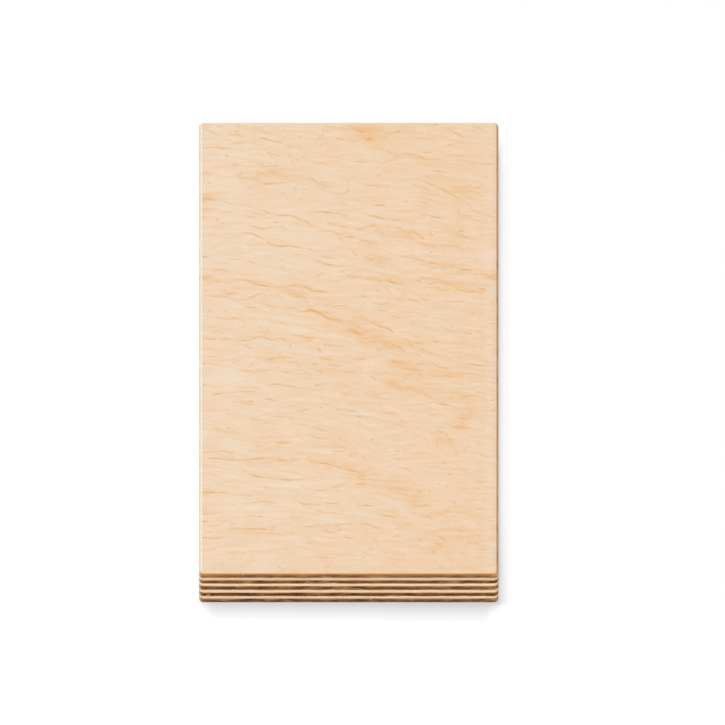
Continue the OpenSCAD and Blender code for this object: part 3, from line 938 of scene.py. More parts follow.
    ((34.2, -62.6), (34.5, -62.8)), ((35.7, -65.4), (36.4, -65.3)), ((31.5, -69.3), (32.8, -69.1)),
    ((34.2, -71.5), (35.9, -71.3), (36.9, -71.3)), ((22.6, -68.9), (23.5, -69.3), (25.2, -70.4)),
    ((18.5, -67.7), (19.3, -67.9), (19.7, -68.9)), ((14.1, -73.1), (15.3, -73.1)),
    ((27.0, -75.4), (27.6, -75.9)), ((27.6, -74.5), (28.0, -75.3), (28.3, -75.6)),
    ((22.5, -75.5), (23.9, -75.7)),
)

FAINT_STROKES: tuple[Stroke, ...] = (
    ((-6.2, 68.1), (-4.0, 67.6), (-2.0, 67.0), (-0.2, 66.1)), ((-1.7, 73.9), (1.4, 72.9), (2.9, 72.8)),
    ((-34.8, 47.8), (-32.0, 47.7), (-30.6, 48.2)),
    ((-6.1, 51.1), (-4.5, 51.2), (-2.0, 51.0), (-0.3, 50.5)), ((-39.0, 7.6), (-35.9, 7.4), (-33.1, 6.6)),
    ((-9.9, 24.2), (-8.4, 25.2), (-7.6, 26.0), (-5.5, 26.5)), ((-8.9, 12.8), (-5.9, 12.4), (-4.3, 11.8)),
    ((24.1, 23.7), (26.4, 22.4), (30.0, 21.9)), ((28.8, 6.9), (31.9, 6.4), (33.6, 5.8)),
    ((36.1, 1.3), (41.0, 0.7)), ((-41.0, -2.7), (-36.7, -3.1), (-34.8, -3.2), (-32.9, -2.8)),
    ((-18.4, -4.3), (-15.7, -5.0), (-13.0, -5.2)), ((28.3, -9.1), (31.1, -9.3), (33.6, -9.1)),
    ((31.7, -10.4), (33.6, -10.6), (35.9, -10.4)),
    ((18.1, -20.1), (19.5, -20.1), (21.6, -20.8), (22.2, -21.5)),
    ((-31.0, -32.2), (-29.4, -32.3), (-27.9, -33.0), (-26.6, -32.7)),
    ((-39.0, -44.6), (-37.1, -44.8), (-34.8, -45.6)), ((-25.2, -49.3), (-23.3, -49.5), (-20.7, -49.8)),
    ((26.7, -34.6), (28.3, -36.1), (29.2, -37.9), (29.8, -39.7)), ((-38.0, -63.2), (-34.0, -62.9)),
    ((-31.9, -72.5), (-29.3, -72.6), (-27.2, -72.7)), ((-11.6, -54.9), (-9.5, -55.2), (-7.0, -55.4)),
)


def drawn(strength: float, strokes: tuple[Stroke, ...]) -> tuple[GrainLine, ...]:
    """Makes grain lines of one strength."""
    return tuple(GrainLine(strength, stroke) for stroke in strokes)


FACE_GRAIN = (
    tuple(GrainLine(*row) for row in FAR_GRAIN + MIDDLE_GRAIN + NEAR_GRAIN)
    + drawn(0.80, BOLD_STROKES)
    + drawn(0.58, PLAIN_STROKES)
    + drawn(0.42, FAINT_STROKES)
)

FACE_ZONES = (
    WarmBand(0.27, 2.1, ((-34.0, 24.2), (-26.0, 23.4), (-17.0, 20.8), (-9.0, 19.0), (-2.0, 14.0))),
    WarmBand(0.31, 1.7, ((-18.0, 14.2), (-9.0, 12.4), (-4.0, 9.9))),
    WarmBand(0.47, 2.2, ((-5.0, 10.2), (1.0, 5.9), (6.0, 3.2), (13.0, 1.2), (21.0, -0.8))),
    WarmBand(0.47, 2.0, ((11.5, -4.2), (16.0, -6.5), (20.5, -8.8))),
    WarmBand(0.35, 1.7, ((23.5, -7.6), (28.0, -9.0), (38.0, -9.8))),
    WarmBand(0.35, 1.7, ((10.5, -12.6), (17.0, -14.2), (23.0, -15.6))),
    WarmBand(0.23, 3.1, ((22.0, -17.6), (34.0, -16.6))),
    WarmBand(0.25, 1.3, ((-31.0, 4.4), (-20.0, 4.4), (-10.0, 2.6), (-2.0, 1.4))),
    WarmBand(0.22, 2.0, ((-14.0, -6.6), (-5.0, -7.6))),
    WarmBand(0.35, 1.4, ((-1.0, 25.4), (9.0, 24.4), (15.0, 23.4))),
    WarmBand(0.35, 1.6, ((20.0, 23.4), (27.0, 22.6), (36.0, 20.6))),
    WarmBand(0.31, 1.6, ((22.0, 29.0), (27.0, 28.6), (30.0, 27.8), (36.0, 25.6))),
    WarmBand(0.31, 1.8, ((7.0, 42.4), (14.0, 40.4), (20.0, 39.4))),
    WarmBand(0.23, 1.6, ((24.0, 40.6), (31.0, 41.4))),
    WarmBand(0.22, 1.6, ((0.0, 40.0), (5.0, 37.4), (8.0, 36.0))),
    WarmBand(0.31, 2.0, ((-14.0, 46.0), (-9.0, 43.0))),
    WarmBand(0.25, 1.6, ((-22.0, 37.8), (-13.0, 36.2))),
    WarmBand(0.16, 2.3, ((10.0, 70.0), (22.0, 66.4), (32.0, 65.0))),
    WarmBand(0.35, 2.3, ((-27.0, 59.6), (-22.0, 60.4), (-19.0, 62.4), (-12.0, 60.6))),
    WarmBand(0.17, 2.1, ((-9.0, 58.6), (-3.0, 56.4))),
    WarmBand(0.23, 1.6, ((-37.0, -39.6), (-20.0, -39.8), (-12.0, -39.0), (-5.0, -41.2))),
    WarmBand(0.33, 2.6, ((-4.0, -41.6), (1.0, -43.0), (5.0, -46.0), (10.0, -49.0), (16.5, -51.0))),
    WarmBand(0.35, 3.1, ((16.5, -51.5), (18.3, -56.0))),
    WarmBand(0.22, 1.7, ((-24.0, -33.4), (-14.0, -34.0))),
    WarmBand(0.35, 1.7, ((-31.0, -64.6), (-21.0, -64.8))),
    WarmBand(0.33, 2.2, ((35.0, -22.0), (31.0, -24.0), (29.5, -29.0))),
    WarmZone((4.0, 76.5), (8.0, 2.6), -10.0, 0.5),
    WarmZone((7.0, 73.0), (2.5, 2.5), 0.0, 0.3),
    WarmZone((14.5, 76.3), (4.0, 1.4), 0.0, 0.25),
    WarmZone((-37.8, 53.3), (2.4, 1.5), 0.0, 0.8),
    WarmZone((-38.0, 24.6), (2.2, 1.7), 0.0, 0.7),
    WarmZone((-31.5, 19.5), (2.5, 1.5), 0.0, 0.3),
    WarmZone((4.0, 9.5), (6.0, 3.0), -30.0, 0.22),
    WarmZone((25.5, -32.7), (2.8, 1.4), 0.0, 0.45),
    WarmZone((38.5, 24.4), (1.5, 1.8), 0.0, 0.6),
    WarmZone((28.0, 56.5), (7.0, 3.5), -20.0, 0.28),
    WarmZone((26.0, 36.2), (4.0, 1.2), 5.0, 0.25),
    WarmZone((8.0, 31.2), (4.0, 1.4), -5.0, 0.3),
    WarmZone((-21.0, -3.0), (3.5, 1.4), -5.0, 0.25),
    WarmZone((1.0, -11.0), (9.0, 6.0), 0.0, 0.14),
    WarmZone((31.0, -3.5), (6.0, 1.2), -6.0, 0.2),
    WarmZone((-4.0, -32.5), (6.0, 3.0), -20.0, 0.18),
    WarmZone((-4.0, -64.0), (4.0, 1.5), 0.0, 0.22),
    WarmZone((-38.0, -51.5), (1.8, 1.3), 0.0, 0.35),
    WarmZone((31.0, -54.5), (3.0, 1.5), 0.0, 0.25),
    WarmZone((28.0, -68.0), (12.0, 8.0), 0.0, 0.2),
    WarmZone((-12.0, -72.0), (14.0, 5.0), 0.0, 0.12),
    WarmZone((-25.0, -56.5), (6.0, 1.8), 0.0, -0.3),
    WarmZone((-15.0, -48.7), (6.0, 1.6), 0.0, -0.4),
    WarmZone((-36.0, 58.0), (4.0, 1.5), 0.0, -0.25),
    WarmZone((-19.0, 39.0), (22.0, 12.0), 0.0, -0.12),
    WarmZone((37.0, 32.5), (2.5, 1.6), 0.0, -0.35),
    WarmZone((-33.0, -11.0), (7.0, 3.0), 0.0, -0.25),
    WarmZone((-12.0, 5.3), (9.0, 0.8), -6.0, -0.25),
    WarmZone((16.0, 34.5), (6.0, 1.2), -8.0, -0.25),
    WarmZone((-31.0, 68.0), (5.0, 2.0), 0.0, -0.25),
)


@dataclass
class Figure:
    """The figure of an outer veneer: drawn grain lines, short flecks between them, and warm patches.

    Attributes:
        lines: The grain lines that are drawn one by one.
        zones: The warm bands, and the warm and pale patches.
        fleck_count: Number of short flecks strewn between the lines.
        seed: Fixes where the flecks fall.
        trace_step: Distance between the points of a drawn line, in millimetres as the next six.
        grid_step: Distance between the points strewn over the rest of the sheet.
        grid_jitter: How far each of these is moved at random.
        ring_spacing: Longest step along the rim.
        hem: Width of the strip inside the rim that no line enters.
        clear_margin: How far lines keep from that strip.
        closest: Points nearer to each other than this are one.
        strong: Strength above which a line may have a pale companion.
        steepest: Steepest slope of a line that the flecks follow.
        softness: How evenly far and near lines steer a fleck.
        hand: Source of the random draws.
    """

    lines: tuple[GrainLine, ...]
    zones: tuple[WarmBand | WarmZone, ...]
    fleck_count: int
    seed: int
    trace_step: float = 0.6
    grid_step: float = 2.0
    grid_jitter: float = 0.4
    ring_spacing: float = 0.2
    hem: float = 0.2
    clear_margin: float = 0.06
    closest: float = 1e-5
    strong: float = 0.7
    steepest: float = 0.6
    softness: float = 4.0
    hand: np.random.Generator = field(init=False)

    def __post_init__(self) -> None:
        """Starts the random draws from the seed."""
        self.hand = np.random.default_rng(self.seed)

    def drift(self, place: np.ndarray, knots: np.ndarray, slopes: np.ndarray) -> float:
        """Finds how the grain runs at a place, from the lines drawn near it.

        Args:
            place: Where, in millimetres.
            knots: Middles of the drawn lines.
            slopes: Rise over run of each of them.

        Returns:
            The slope of the grain there.
        """
        if len(knots) == 0:
            slope, length = LONG_SWING
            swing = slope * math.sin(place[1] / length)
            slope, across, along = SLANTED_SWING
            return swing + slope * math.sin(place[0] / across + place[1] / along)
        weights = 1 / (self.softness + ((knots - place) ** 2).sum(axis=1))
        return float((weights * slopes).sum() / weights.sum())

    def flecks(self, half_width: float, half_length: float) -> list[GrainLine]:
        """Strews short flecks over the sheet, along the grain.

        Args:
            half_width, half_length: Reach of the flat sheet, in millimetres.

        Returns:
            The flecks as grain lines.
        """
        ends = [(np.array(line.points[0]), np.array(line.points[-1])) for line in self.lines]
        level = [(a, b) for a, b in ends if abs(b[1] - a[1]) < self.steepest * abs(b[0] - a[0])]
        knots = np.array([(a + b) / 2 for a, b in level])
        slopes = np.array([(b[1] - a[1]) / (b[0] - a[0]) for a, b in level])
        flecks = []
        for _ in range(self.fleck_count):
            start = self.hand.uniform((-half_width, -half_length), (half_width, half_length))
            length = min(LONGEST_FLECK, self.hand.lognormal(math.log(FLECK_LENGTH), FLECK_LENGTH_SPREAD))
            slope = self.drift(start, knots, slopes) + self.hand.normal(0, FLECK_LEAN)
            strength = self.hand.lognormal(math.log(FLECK_STRENGTH), FLECK_STRENGTH_SPREAD)
            strength = float(np.clip(strength, *FLECK_STRENGTH_RANGE))
            if self.hand.random() < PALE_FLECKS:
                strength = PALE_FLECK_STRENGTH * strength
            bend = self.hand.normal(0, FLECK_BEND) * length
            middle = start + (length / 2, slope * length / 2 + bend)
            stop = start + (length, slope * length)
            bead = Bead.START if self.hand.random() < EARLY_FLECKS else Bead.MIDDLE
            width = self.hand.uniform(*FLECK_WIDTHS)
            flecks.append(GrainLine(strength, (tuple(start), tuple(middle), tuple(stop)), bead, width))
        return flecks

    def sheet(self, outline: Outline, inset: float) -> bpy.types.Mesh:
        """Makes the flat of the veneer as a mesh whose edges follow every grain line.

        Args:
            outline: The plan of the plies.
            inset: How far inside the outline the flat ends.

        Returns:
            The flat sheet at height zero, with its figure and warmth on its points.
        """
        ring = outline.ring(inset, self.ring_spacing * MM) / MM
        hem = outline.ring(inset + self.hem * MM, 2 * self.ring_spacing * MM) / MM
        reach = ring.max(axis=0)
        pale = [line.companion() for line in self.lines if line.strength > self.strong]
        strokes = [*self.lines, *pale[::2], *self.flecks(*reach)]
        drawn = [stroke.trace(self.trace_step, self.hand) for stroke in strokes]
        inner = reach - self.hem - self.clear_margin
        traces = [trace for trace in (whole.kept_inside(*inner) for whole in drawn) if trace]
        places = [ring, hem]
        edges = self._loop(0, len(ring)) + self._loop(len(ring), len(hem))
        total = len(ring) + len(hem)
        for trace in traces:
            for side in trace.strip():
                side = np.clip(side, -inner, inner)
                places.append(side)
                edges += [(total + i, total + i + 1) for i in range(len(side) - 1)]
                total += len(side)
        columns, rows = (np.floor(2 * inner / self.grid_step)).astype(int)
        across = np.linspace(-inner[0], inner[0], columns)[1:-1]
        along = np.linspace(-inner[1], inner[1], rows)[1:-1]
        grid = np.stack(np.meshgrid(across, along), axis=-1).reshape(-1, 2)
        places.append(grid + self.hand.uniform(-self.grid_jitter, self.grid_jitter, grid.shape))
        points = [Vector(place) for place in np.vstack(places)]
        corners, _, faces, *_ = delaunay_2d_cdt(points, edges, [], 1, self.closest, False)
        flat = np.array([corner[:] for corner in corners])
        figure = np.zeros(len(flat))
        for trace in traces:
            trace.stamp(flat, figure)
        warmth = np.zeros(len(flat))
        for zone in self.zones:
            warmth += zone.warmth(flat)
        mesh = bpy.data.meshes.new("figured_sheet")
        mesh.from_pydata([(x * MM, y * MM, 0.0) for x, y in flat], [], faces)
        for name, values in (("figure", figure), ("warmth", warmth)):
            mesh.attributes.new(name, "FLOAT", "POINT").data.foreach_set("value", values.astype(np.float32))
        return mesh

    @staticmethod
    def _loop(first: int, count: int) -> list[tuple[int, int]]:
        """Gives the edges of a closed ring of points numbered from the first."""
        return [(first + i, first + (i + 1) % count) for i in range(count)]


@dataclass
class VeneerTree:
    """The Geometry Nodes tree that takes a veneer's edge section round its flat sheet.

    The section starts at the rim of the sheet, turns down over the upper ease, runs down the edge and
    turns in under the lower ease. The underside is filled in, and the veneer is set at its height, with
    the glue lines above and below it a little wavy.
    """

    tree: bpy.types.GeometryNodeTree = field(init=False)
    sockets: dict[str, str] = field(default_factory=dict)

    LENGTHS = (
        "Half Width", "Half Length", "Corner Radius", "Thickness", "Upper Ease", "Lower Ease",
        "Base Height", "Upper Wave", "Lower Wave", "Wave Length",
    )
    NUMBERS = ("Upper Seed", "Lower Seed", "Turned Over", "Shade")

    def __post_init__(self) -> None:
        """Builds the tree."""
        self.tree = bpy.data.node_groups.new("veneer_edge", "GeometryNodeTree")
        self._socket("Sheet", "NodeSocketGeometry")
        for name in self.LENGTHS + self.NUMBERS:
            self._socket(name, "NodeSocketFloat")
        self._socket("Ease Steps", "NodeSocketInt")
        self._socket("Finish", "NodeSocketMaterial")
        self.tree.interface.new_socket("Veneer", in_out="OUTPUT", socket_type="NodeSocketGeometry")
        self.bench = Bench(self.tree)
        self.inputs = self.tree.nodes.new("NodeGroupInput").outputs
        ring = self._ring()
        swept = self._swept_edge(ring)
        underside = self._underside(ring)
        joined = self._join(self.inputs["Sheet"], swept, underside)
        placed = self._placed(self._wear_and_light(joined))
        waved = self._waved(placed)
        self._finish(waved)

    def _socket(self, name: str, kind: str) -> None:
        """Adds a named input to the tree."""
        socket = self.tree.interface.new_socket(name, in_out="INPUT", socket_type=kind)
        self.sockets[name] = socket.identifier

    def _outward(self, place: Socket) -> Socket:
        """Gives the direction away from the middle of the sheet, square to the outline, at a place."""
        return self.bench.vector("NORMALIZE", self._beyond_core(place))

    def _beyond_core(self, place: Socket) -> Socket:
        """Gives the way to a place from the nearest point of the flat core inside the corner centres.

        Args:
            place: The place on the veneer.

        Returns:
            The way there, level with the floor.
        """
        bench, inputs = self.bench, self.inputs
        core_x = bench.less(inputs["Half Width"], inputs["Corner Radius"])
        core_y = bench.less(inputs["Half Length"], inputs["Corner Radius"])
        core = bench.joined(core_x, core_y)
        held = bench.vector("MINIMUM", bench.vector("MAXIMUM", place, bench.scaled(core, -1.0)), core)
        return bench.vector("MULTIPLY", bench.vector("SUBTRACT", place, held), LEVEL)

    def _named(self, name: str, kind: str) -> Socket:
        """Reads an attribute that an earlier node stored."""
        return self.bench.add("GeometryNodeInputNamedAttribute", {"Name": name}, data_type=kind).outputs[0]

    def _stored(self, geometry: Socket, name: str, value: Socket, kind: str = "FLOAT") -> Socket:
        """Stores a value on the points of some geometry under a name."""
        inputs = {"Geometry": geometry, "Name": name, "Value": value}
        return self.bench.add("GeometryNodeStoreNamedAttribute", inputs, data_type=kind).outputs[0]

    def _ring(self) -> Socket:
        """Takes the rim of the flat sheet as a curve that remembers its own places.

        Returns:
            The curve.
        """
        bench = self.bench
        neighbours = bench.add("GeometryNodeInputMeshEdgeNeighbors").outputs[0]
        rim = bench.add("FunctionNodeCompare", data_type="INT", operation="EQUAL")
        self.tree.links.new(neighbours, rim.inputs[2])
        rim.inputs[3].default_value = 1
        bounds = {"Mesh": self.inputs["Sheet"], "Selection": rim.outputs[0]}
        curve = bench.add("GeometryNodeMeshToCurve", bounds)
        place = bench.add("GeometryNodeInputPosition").outputs[0]
        return self._stored(curve.outputs[0], "rim_place", place, "FLOAT_VECTOR")

    def _section(self) -> Socket:
        """Draws the edge section: outwards along X and downwards along Y.

        Returns:
            The section as a curve.
        """
        bench, inputs = self.bench, self.inputs
        foot = bench.less(inputs["Upper Ease"], inputs["Lower Ease"])
        top = bench.joined(inputs["Upper Ease"])
        low = bench.joined(inputs["Upper Ease"], inputs["Thickness"])
        end = bench.joined(foot, inputs["Thickness"])
        corners = {"Point 1": (0.0, 0.0, 0.0), "Point 2": top, "Point 3": low, "Point 4": end}
        square = bench.add("GeometryNodeCurvePrimitiveQuadrilateral", corners, mode="POINTS").outputs[0]
        opened = bench.add("GeometryNodeSetSplineCyclic", {"Geometry": square, "Cyclic": False}).outputs[0]
        index = bench.add("GeometryNodeInputIndex").outputs[0]
        is_low = bench.math("GREATER_THAN", index, 1.5)
        radius = bench.add("ShaderNodeMix", {0: is_low, 2: inputs["Upper Ease"], 3: inputs["Lower Ease"]})
        eased = {"Curve": opened, "Count": inputs["Ease Steps"], "Radius": radius.outputs[0]}
        section = bench.add("GeometryNodeFilletCurve", eased, mode="POLY").outputs[0]
        place = bench.add("GeometryNodeInputPosition").outputs[0]
        return self._stored(section, "section_place", place, "FLOAT_VECTOR")

    def _swept_edge(self, ring: Socket) -> Socket:
        """Takes the edge section round the rim.

        Args:
            ring: The rim.

        Returns:
            The edge as a strip of faces.
        """
        bench = self.bench
        sweep = {"Curve": ring, "Profile Curve": self._section()}
        strip = bench.add("GeometryNodeCurveToMesh", sweep).outputs[0]
        rim_place = self._named("rim_place", "FLOAT_VECTOR")
        section = bench.split(self._named("section_place", "FLOAT_VECTOR"))
        out = bench.scaled(self._outward(rim_place), section[0])
        down = bench.scaled(DOWN, section[1])
        place = bench.vector("ADD", bench.vector("ADD", rim_place, out), down)
        return bench.add("GeometryNodeSetPosition", {"Geometry": strip, "Position": place}).outputs[0]

    def _underside(self, ring: Socket) -> Socket:
        """Fills the underside inside the lower ease.

        Args:
            ring: The rim.

        Returns:
            The underside as one face.
        """
        bench, inputs = self.bench, self.inputs
        rim_place = self._named("rim_place", "FLOAT_VECTOR")
        reach = bench.less(inputs["Upper Ease"], inputs["Lower Ease"])
        place = bench.vector("ADD", rim_place, bench.scaled(self._outward(rim_place), reach))
        moved = bench.add("GeometryNodeSetPosition", {"Geometry": ring, "Position": place}).outputs[0]
        filled = bench.add("GeometryNodeFillCurve", {"Curve": moved}, mode="NGONS").outputs[0]
        drop = bench.scaled(DOWN, inputs["Thickness"])
        return bench.add("GeometryNodeSetPosition", {"Geometry": filled, "Offset": drop}).outputs[0]

    def _join(self, *pieces: Socket) -> Socket:
        """Joins the sheet, its edge and its underside into one closed skin.

        Args:
            *pieces: What is joined.

        Returns:
            The skin.
        """
        join = self.bench.tree.nodes.new("GeometryNodeJoinGeometry")
        for piece in pieces:
            self.tree.links.new(piece, join.inputs[0])
        merge = {"Geometry": join.outputs[0], "Distance": MERGE_GAP}
        merged = self.bench.add("GeometryNodeMergeByDistance", merge).outputs[0]
        for name in ("rim_place", "section_place"):
            spent = {"Geometry": merged, "Name": name}
            merged = self.bench.add("GeometryNodeRemoveAttribute", spent).outputs[0]
        return merged

    def _wear_and_light(self, geometry: Socket) -> Socket:
        """Marks where the brown of the edge shows, partly as painted shade on the right side, where its rim
        carries a painted highlight, and where it turns golden.

        Args:
            geometry: The skin.

        Returns:
            The skin with its marks.
        """
        bench, inputs = self.bench, self.inputs
        place = bench.add("GeometryNodeInputPosition").outputs[0]
        height = bench.split(place)[2]
        depth = bench.math("DIVIDE", bench.times(height, -1.0), inputs["Upper Ease"])
        fall = bench.less(1.0, bench.math("MINIMUM", depth, 1.0))
        turned = bench.times(bench.math("ARCCOSINE", fall), 2 / math.pi)
        beyond = self._beyond_core(place)
        length = bench.add("ShaderNodeVectorMath", {0: beyond}, operation="LENGTH").outputs["Value"]
        rise = bench.less(inputs["Corner Radius"], inputs["Upper Ease"])
        reach = bench.math("DIVIDE", bench.less(length, rise), inputs["Upper Ease"])
        crest = bench.times(bench.remap(reach, -0.3, 0.0), bench.remap(reach, 0.08, 0.35, 1.0, 0.2))
        away = bench.split(bench.vector("NORMALIZE", beyond))
        bared_and_shaded = bench.remap(depth, 1.0, 1.3)
        golden = bench.remap(turned, 0.12, 0.72)
        rim_highlight = 0.0
        gilded = 0.0
        # The brown on the right side stands partly for painted shade, and the rubbed mark is a painted
        # highlight along the rim.
        for side, wear in EDGE_WEAR_AND_LIGHT.items():
            axis, sign = side.value
            towards = bench.most(bench.times(away[axis], sign), 0.0)
            share = bench.times(towards, towards)
            shown = bench.remap(turned, wear.start, wear.start + wear.width, 0.0, wear.most)
            bared_and_shaded = bench.most(bared_and_shaded, bench.times(share, shown))
            rim_highlight = bench.plus(rim_highlight, bench.times(share, wear.rub))
            gilded = bench.plus(gilded, bench.times(share, wear.gild))
        marks = {
            "bared_and_shaded": bared_and_shaded,
            "rim_highlight": bench.times(rim_highlight, crest),
            "gilded": bench.times(gilded, golden),
            "shade": inputs["Shade"],
        }
        for name, mark in marks.items():
            geometry = self._stored(geometry, name, mark)
        return geometry

    def _placed(self, geometry: Socket) -> Socket:
        """Sets the veneer at its height, turned over where it is the back one.

        Args:
            geometry: The skin, with its face at height zero.

        Returns:
            The veneer in its place.
        """
        bench, inputs = self.bench, self.inputs
        turn = bench.times(inputs["Turned Over"], math.pi)
        upright = bench.times(bench.less(1.0, inputs["Turned Over"]), inputs["Thickness"])
        height = bench.plus(inputs["Base Height"], upright)
        rotation = bench.joined(y=turn)
        move = bench.joined(z=height)
        turned = {"Geometry": geometry, "Translation": move, "Rotation": rotation}
        return bench.add("GeometryNodeTransform", turned).outputs[0]

    def _waved(self, geometry: Socket) -> Socket:
        """Lets the glue lines above and below wander a little, alike on both plies that share one.

        Args:
            geometry: The veneer in its place.

        Returns:
            The waved veneer.
        """
        bench, inputs = self.bench, self.inputs
        place = bench.add("GeometryNodeInputPosition").outputs[0]
        height = bench.split(place)[2]
        across = bench.math("DIVIDE", bench.less(height, inputs["Base Height"]), inputs["Thickness"])
        geometry = self._stored(geometry, "across", across)
        spread = bench.scaled(place, bench.math("DIVIDE", 1.0, inputs["Wave Length"]))
        waves = []
        for side in ("Lower", "Upper"):
            pattern = bench.noise(spread, LEVEL, inputs[f"{side} Seed"])
            waves.append(bench.swing(pattern, inputs[f"{side} Wave"]))
        stored = self._named("across", "FLOAT")
        mixed = bench.add("ShaderNodeMix", {0: stored, 2: waves[0], 3: waves[1]}).outputs[0]
        lift = bench.joined(z=mixed)
        return bench.add("GeometryNodeSetPosition", {"Geometry": geometry, "Offset": lift}).outputs[0]

    def _finish(self, geometry: Socket) -> None:
        """Smooths the eased edges, keeps the square ones sharp, and sets the finish.

        Args:
            geometry: The waved veneer.
        """
        bench = self.bench
        smooth = {"Geometry": geometry, "Shade Smooth": True}
        rounded = bench.add("GeometryNodeSetShadeSmooth", smooth, domain="FACE").outputs[0]
        angle = bench.add("GeometryNodeInputMeshEdgeAngle").outputs[0]
        corner = bench.math("GREATER_THAN", angle, math.radians(SHARP_ANGLE))
        sharp = {"Geometry": rounded, "Selection": corner, "Shade Smooth": False}
        sharpened = bench.add("GeometryNodeSetShadeSmooth", sharp, domain="EDGE").outputs[0]
        real = bench.add("GeometryNodeRealizeInstances", {"Geometry": sharpened}).outputs[0]
        finish = {"Geometry": real, "Material": self.inputs["Finish"]}
        dressed = bench.add("GeometryNodeSetMaterial", finish)
        output = self.tree.nodes.new("NodeGroupOutput")
        self.tree.links.new(dressed.outputs[0], output.inputs[0])

    def run(self, piece: bpy.types.Object, values: dict[str, Any]) -> None:
        """Turns a piece's flat sheet into the finished veneer, as a plain mesh.

        Args:
            piece: The object that holds the flat sheet.
            values: The tree's inputs by name.
        """
        modifier = piece.modifiers.new("veneer_edge", "NODES")
        modifier.node_group = self.tree
        for name, value in values.items():
            modifier[self.sockets[name]] = value
        graph = bpy.context.evaluated_depsgraph_get()
        mesh = bpy.data.meshes.new_from_object(
            piece.evaluated_get(graph), preserve_all_data_layers=True, depsgraph=graph
        )
        piece.modifiers.remove(modifier)
        piece.data = mesh
        work = bmesh.new()
        work.from_mesh(mesh)
        bmesh.ops.recalc_face_normals(work, faces=work.faces)
        work.to_mesh(mesh)
        work.free()


@dataclass(frozen=True)
class CornerLight:
    """Painted light, a painted highlight or painted shade on one of the two near upright corners, as each
    instance below sets.

    Attributes:
        start: Where the painted light or shade starts across the sheet, in millimetres.
        stop: Where it is full.
        most: Its share there.
        ahead: Where it starts and is full towards the near edge, in millimetres.
    """

    start: float
    stop: float
    most: float
    ahead: Point = (-77.8, -79.4)

    def share(self, bench: Bench, place: Socket) -> Socket:
        """Adds the nodes that give the share of painted light or shade at each place.

        Args:
            bench: The shader's bench.
            place: The place on the edge, in millimetres.

        Returns:
            The socket of the share.
        """
        ways = bench.split(place)
        across = bench.remap(ways[0], self.start, self.stop, 0.0, self.most)
        return bench.times(across, bench.remap(ways[1], *self.ahead))


# Painted orange light and a painted highlight at the near left corner; painted shade on the cream plies and
# painted golden light on the face at the near right corner.
LIT_LEFT_CORNER = CornerLight(-38.4, -39.4, 0.6)
LEFT_CORNER_HIGHLIGHT = CornerLight(-39.3, -39.9, 0.45)
RIGHT_CORNER_SHADE = CornerLight(38.9, 39.7, 0.5)
LIT_RIGHT_CORNER = CornerLight(37.7, 38.5, 0.42)


@dataclass(frozen=True)
class BrownWood:
    """The brown that the long plies show along every edge.

    Attributes:
        deep, body, worn: The darkest, the usual and the wood worn lighter.
        nick: Where it is chipped.
        lip: Along the ply's upper and lower lines.
        ember, bleached: Painted orange light round the near left corner, and the painted highlight on its
            rounded edge.
    """

    deep: Colour = tone(86, 44, 14)
    body: Colour = tone(124, 77, 38)
    worn: Colour = tone(172, 124, 78)
    nick: Colour = tone(204, 164, 122)
    lip: Colour = tone(186, 124, 62)
    lit_orange: Colour = tone(170, 100, 42)
    corner_highlight: Colour = tone(250, 236, 218)

    def colour(self, bench: Bench, place: Socket, across: Socket) -> Socket:
        """Adds the nodes that give the brown at each place.

        Args:
            bench: The shader's bench.
            place: The place on the edge, in millimetres.
            across: From the lower to the upper side of the ply, 0 to 1.

        Returns:
            The colour's socket.
        """
        mottle = bench.noise(place, (0.20, 0.20, 0.9), 3.0, 3.0, 0.6)
        speck = bench.noise(place, (1.5, 1.5, 2.4), 11.0, 2.0)
        dulled = bench.times(bench.attribute("shade"), 0.2)
        light = bench.less(mottle, dulled)
        patch = bench.blend(bench.remap(light, 0.36, 0.52), self.deep, self.body)
        tanned = bench.blend(bench.remap(light, 0.50, 0.64, 0.0, 0.85), patch, self.worn)
        flecked = bench.blend(bench.remap(speck, 0.5, 0.75, 0.0, 0.5), tanned, self.worn)
        drift = bench.swing(mottle, 1.5)
        crest = bench.remap(bench.plus(across, drift), 0.62, 1.0, 0.0, 0.66)
        foot = bench.remap(across, 0.0, 0.22, 0.40, 0.0)
        lit = bench.blend(bench.plus(crest, foot), flecked, self.lip)
        chip = bench.noise(place, (0.55, 0.55, 0.8), 29.0, 1.0)
        nicked = bench.blend(bench.remap(chip, 0.68, 0.72, 0.0, 0.8), lit, self.nick)
        # Painted light: the brown ends glow orange at the near left corner, with a painted highlight on its
        # rounded edge.
        turned = bench.blend(LIT_LEFT_CORNER.share(bench, place), nicked, self.lit_orange)
        return bench.blend(LEFT_CORNER_HIGHLIGHT.share(bench, place), turned, self.corner_highlight)


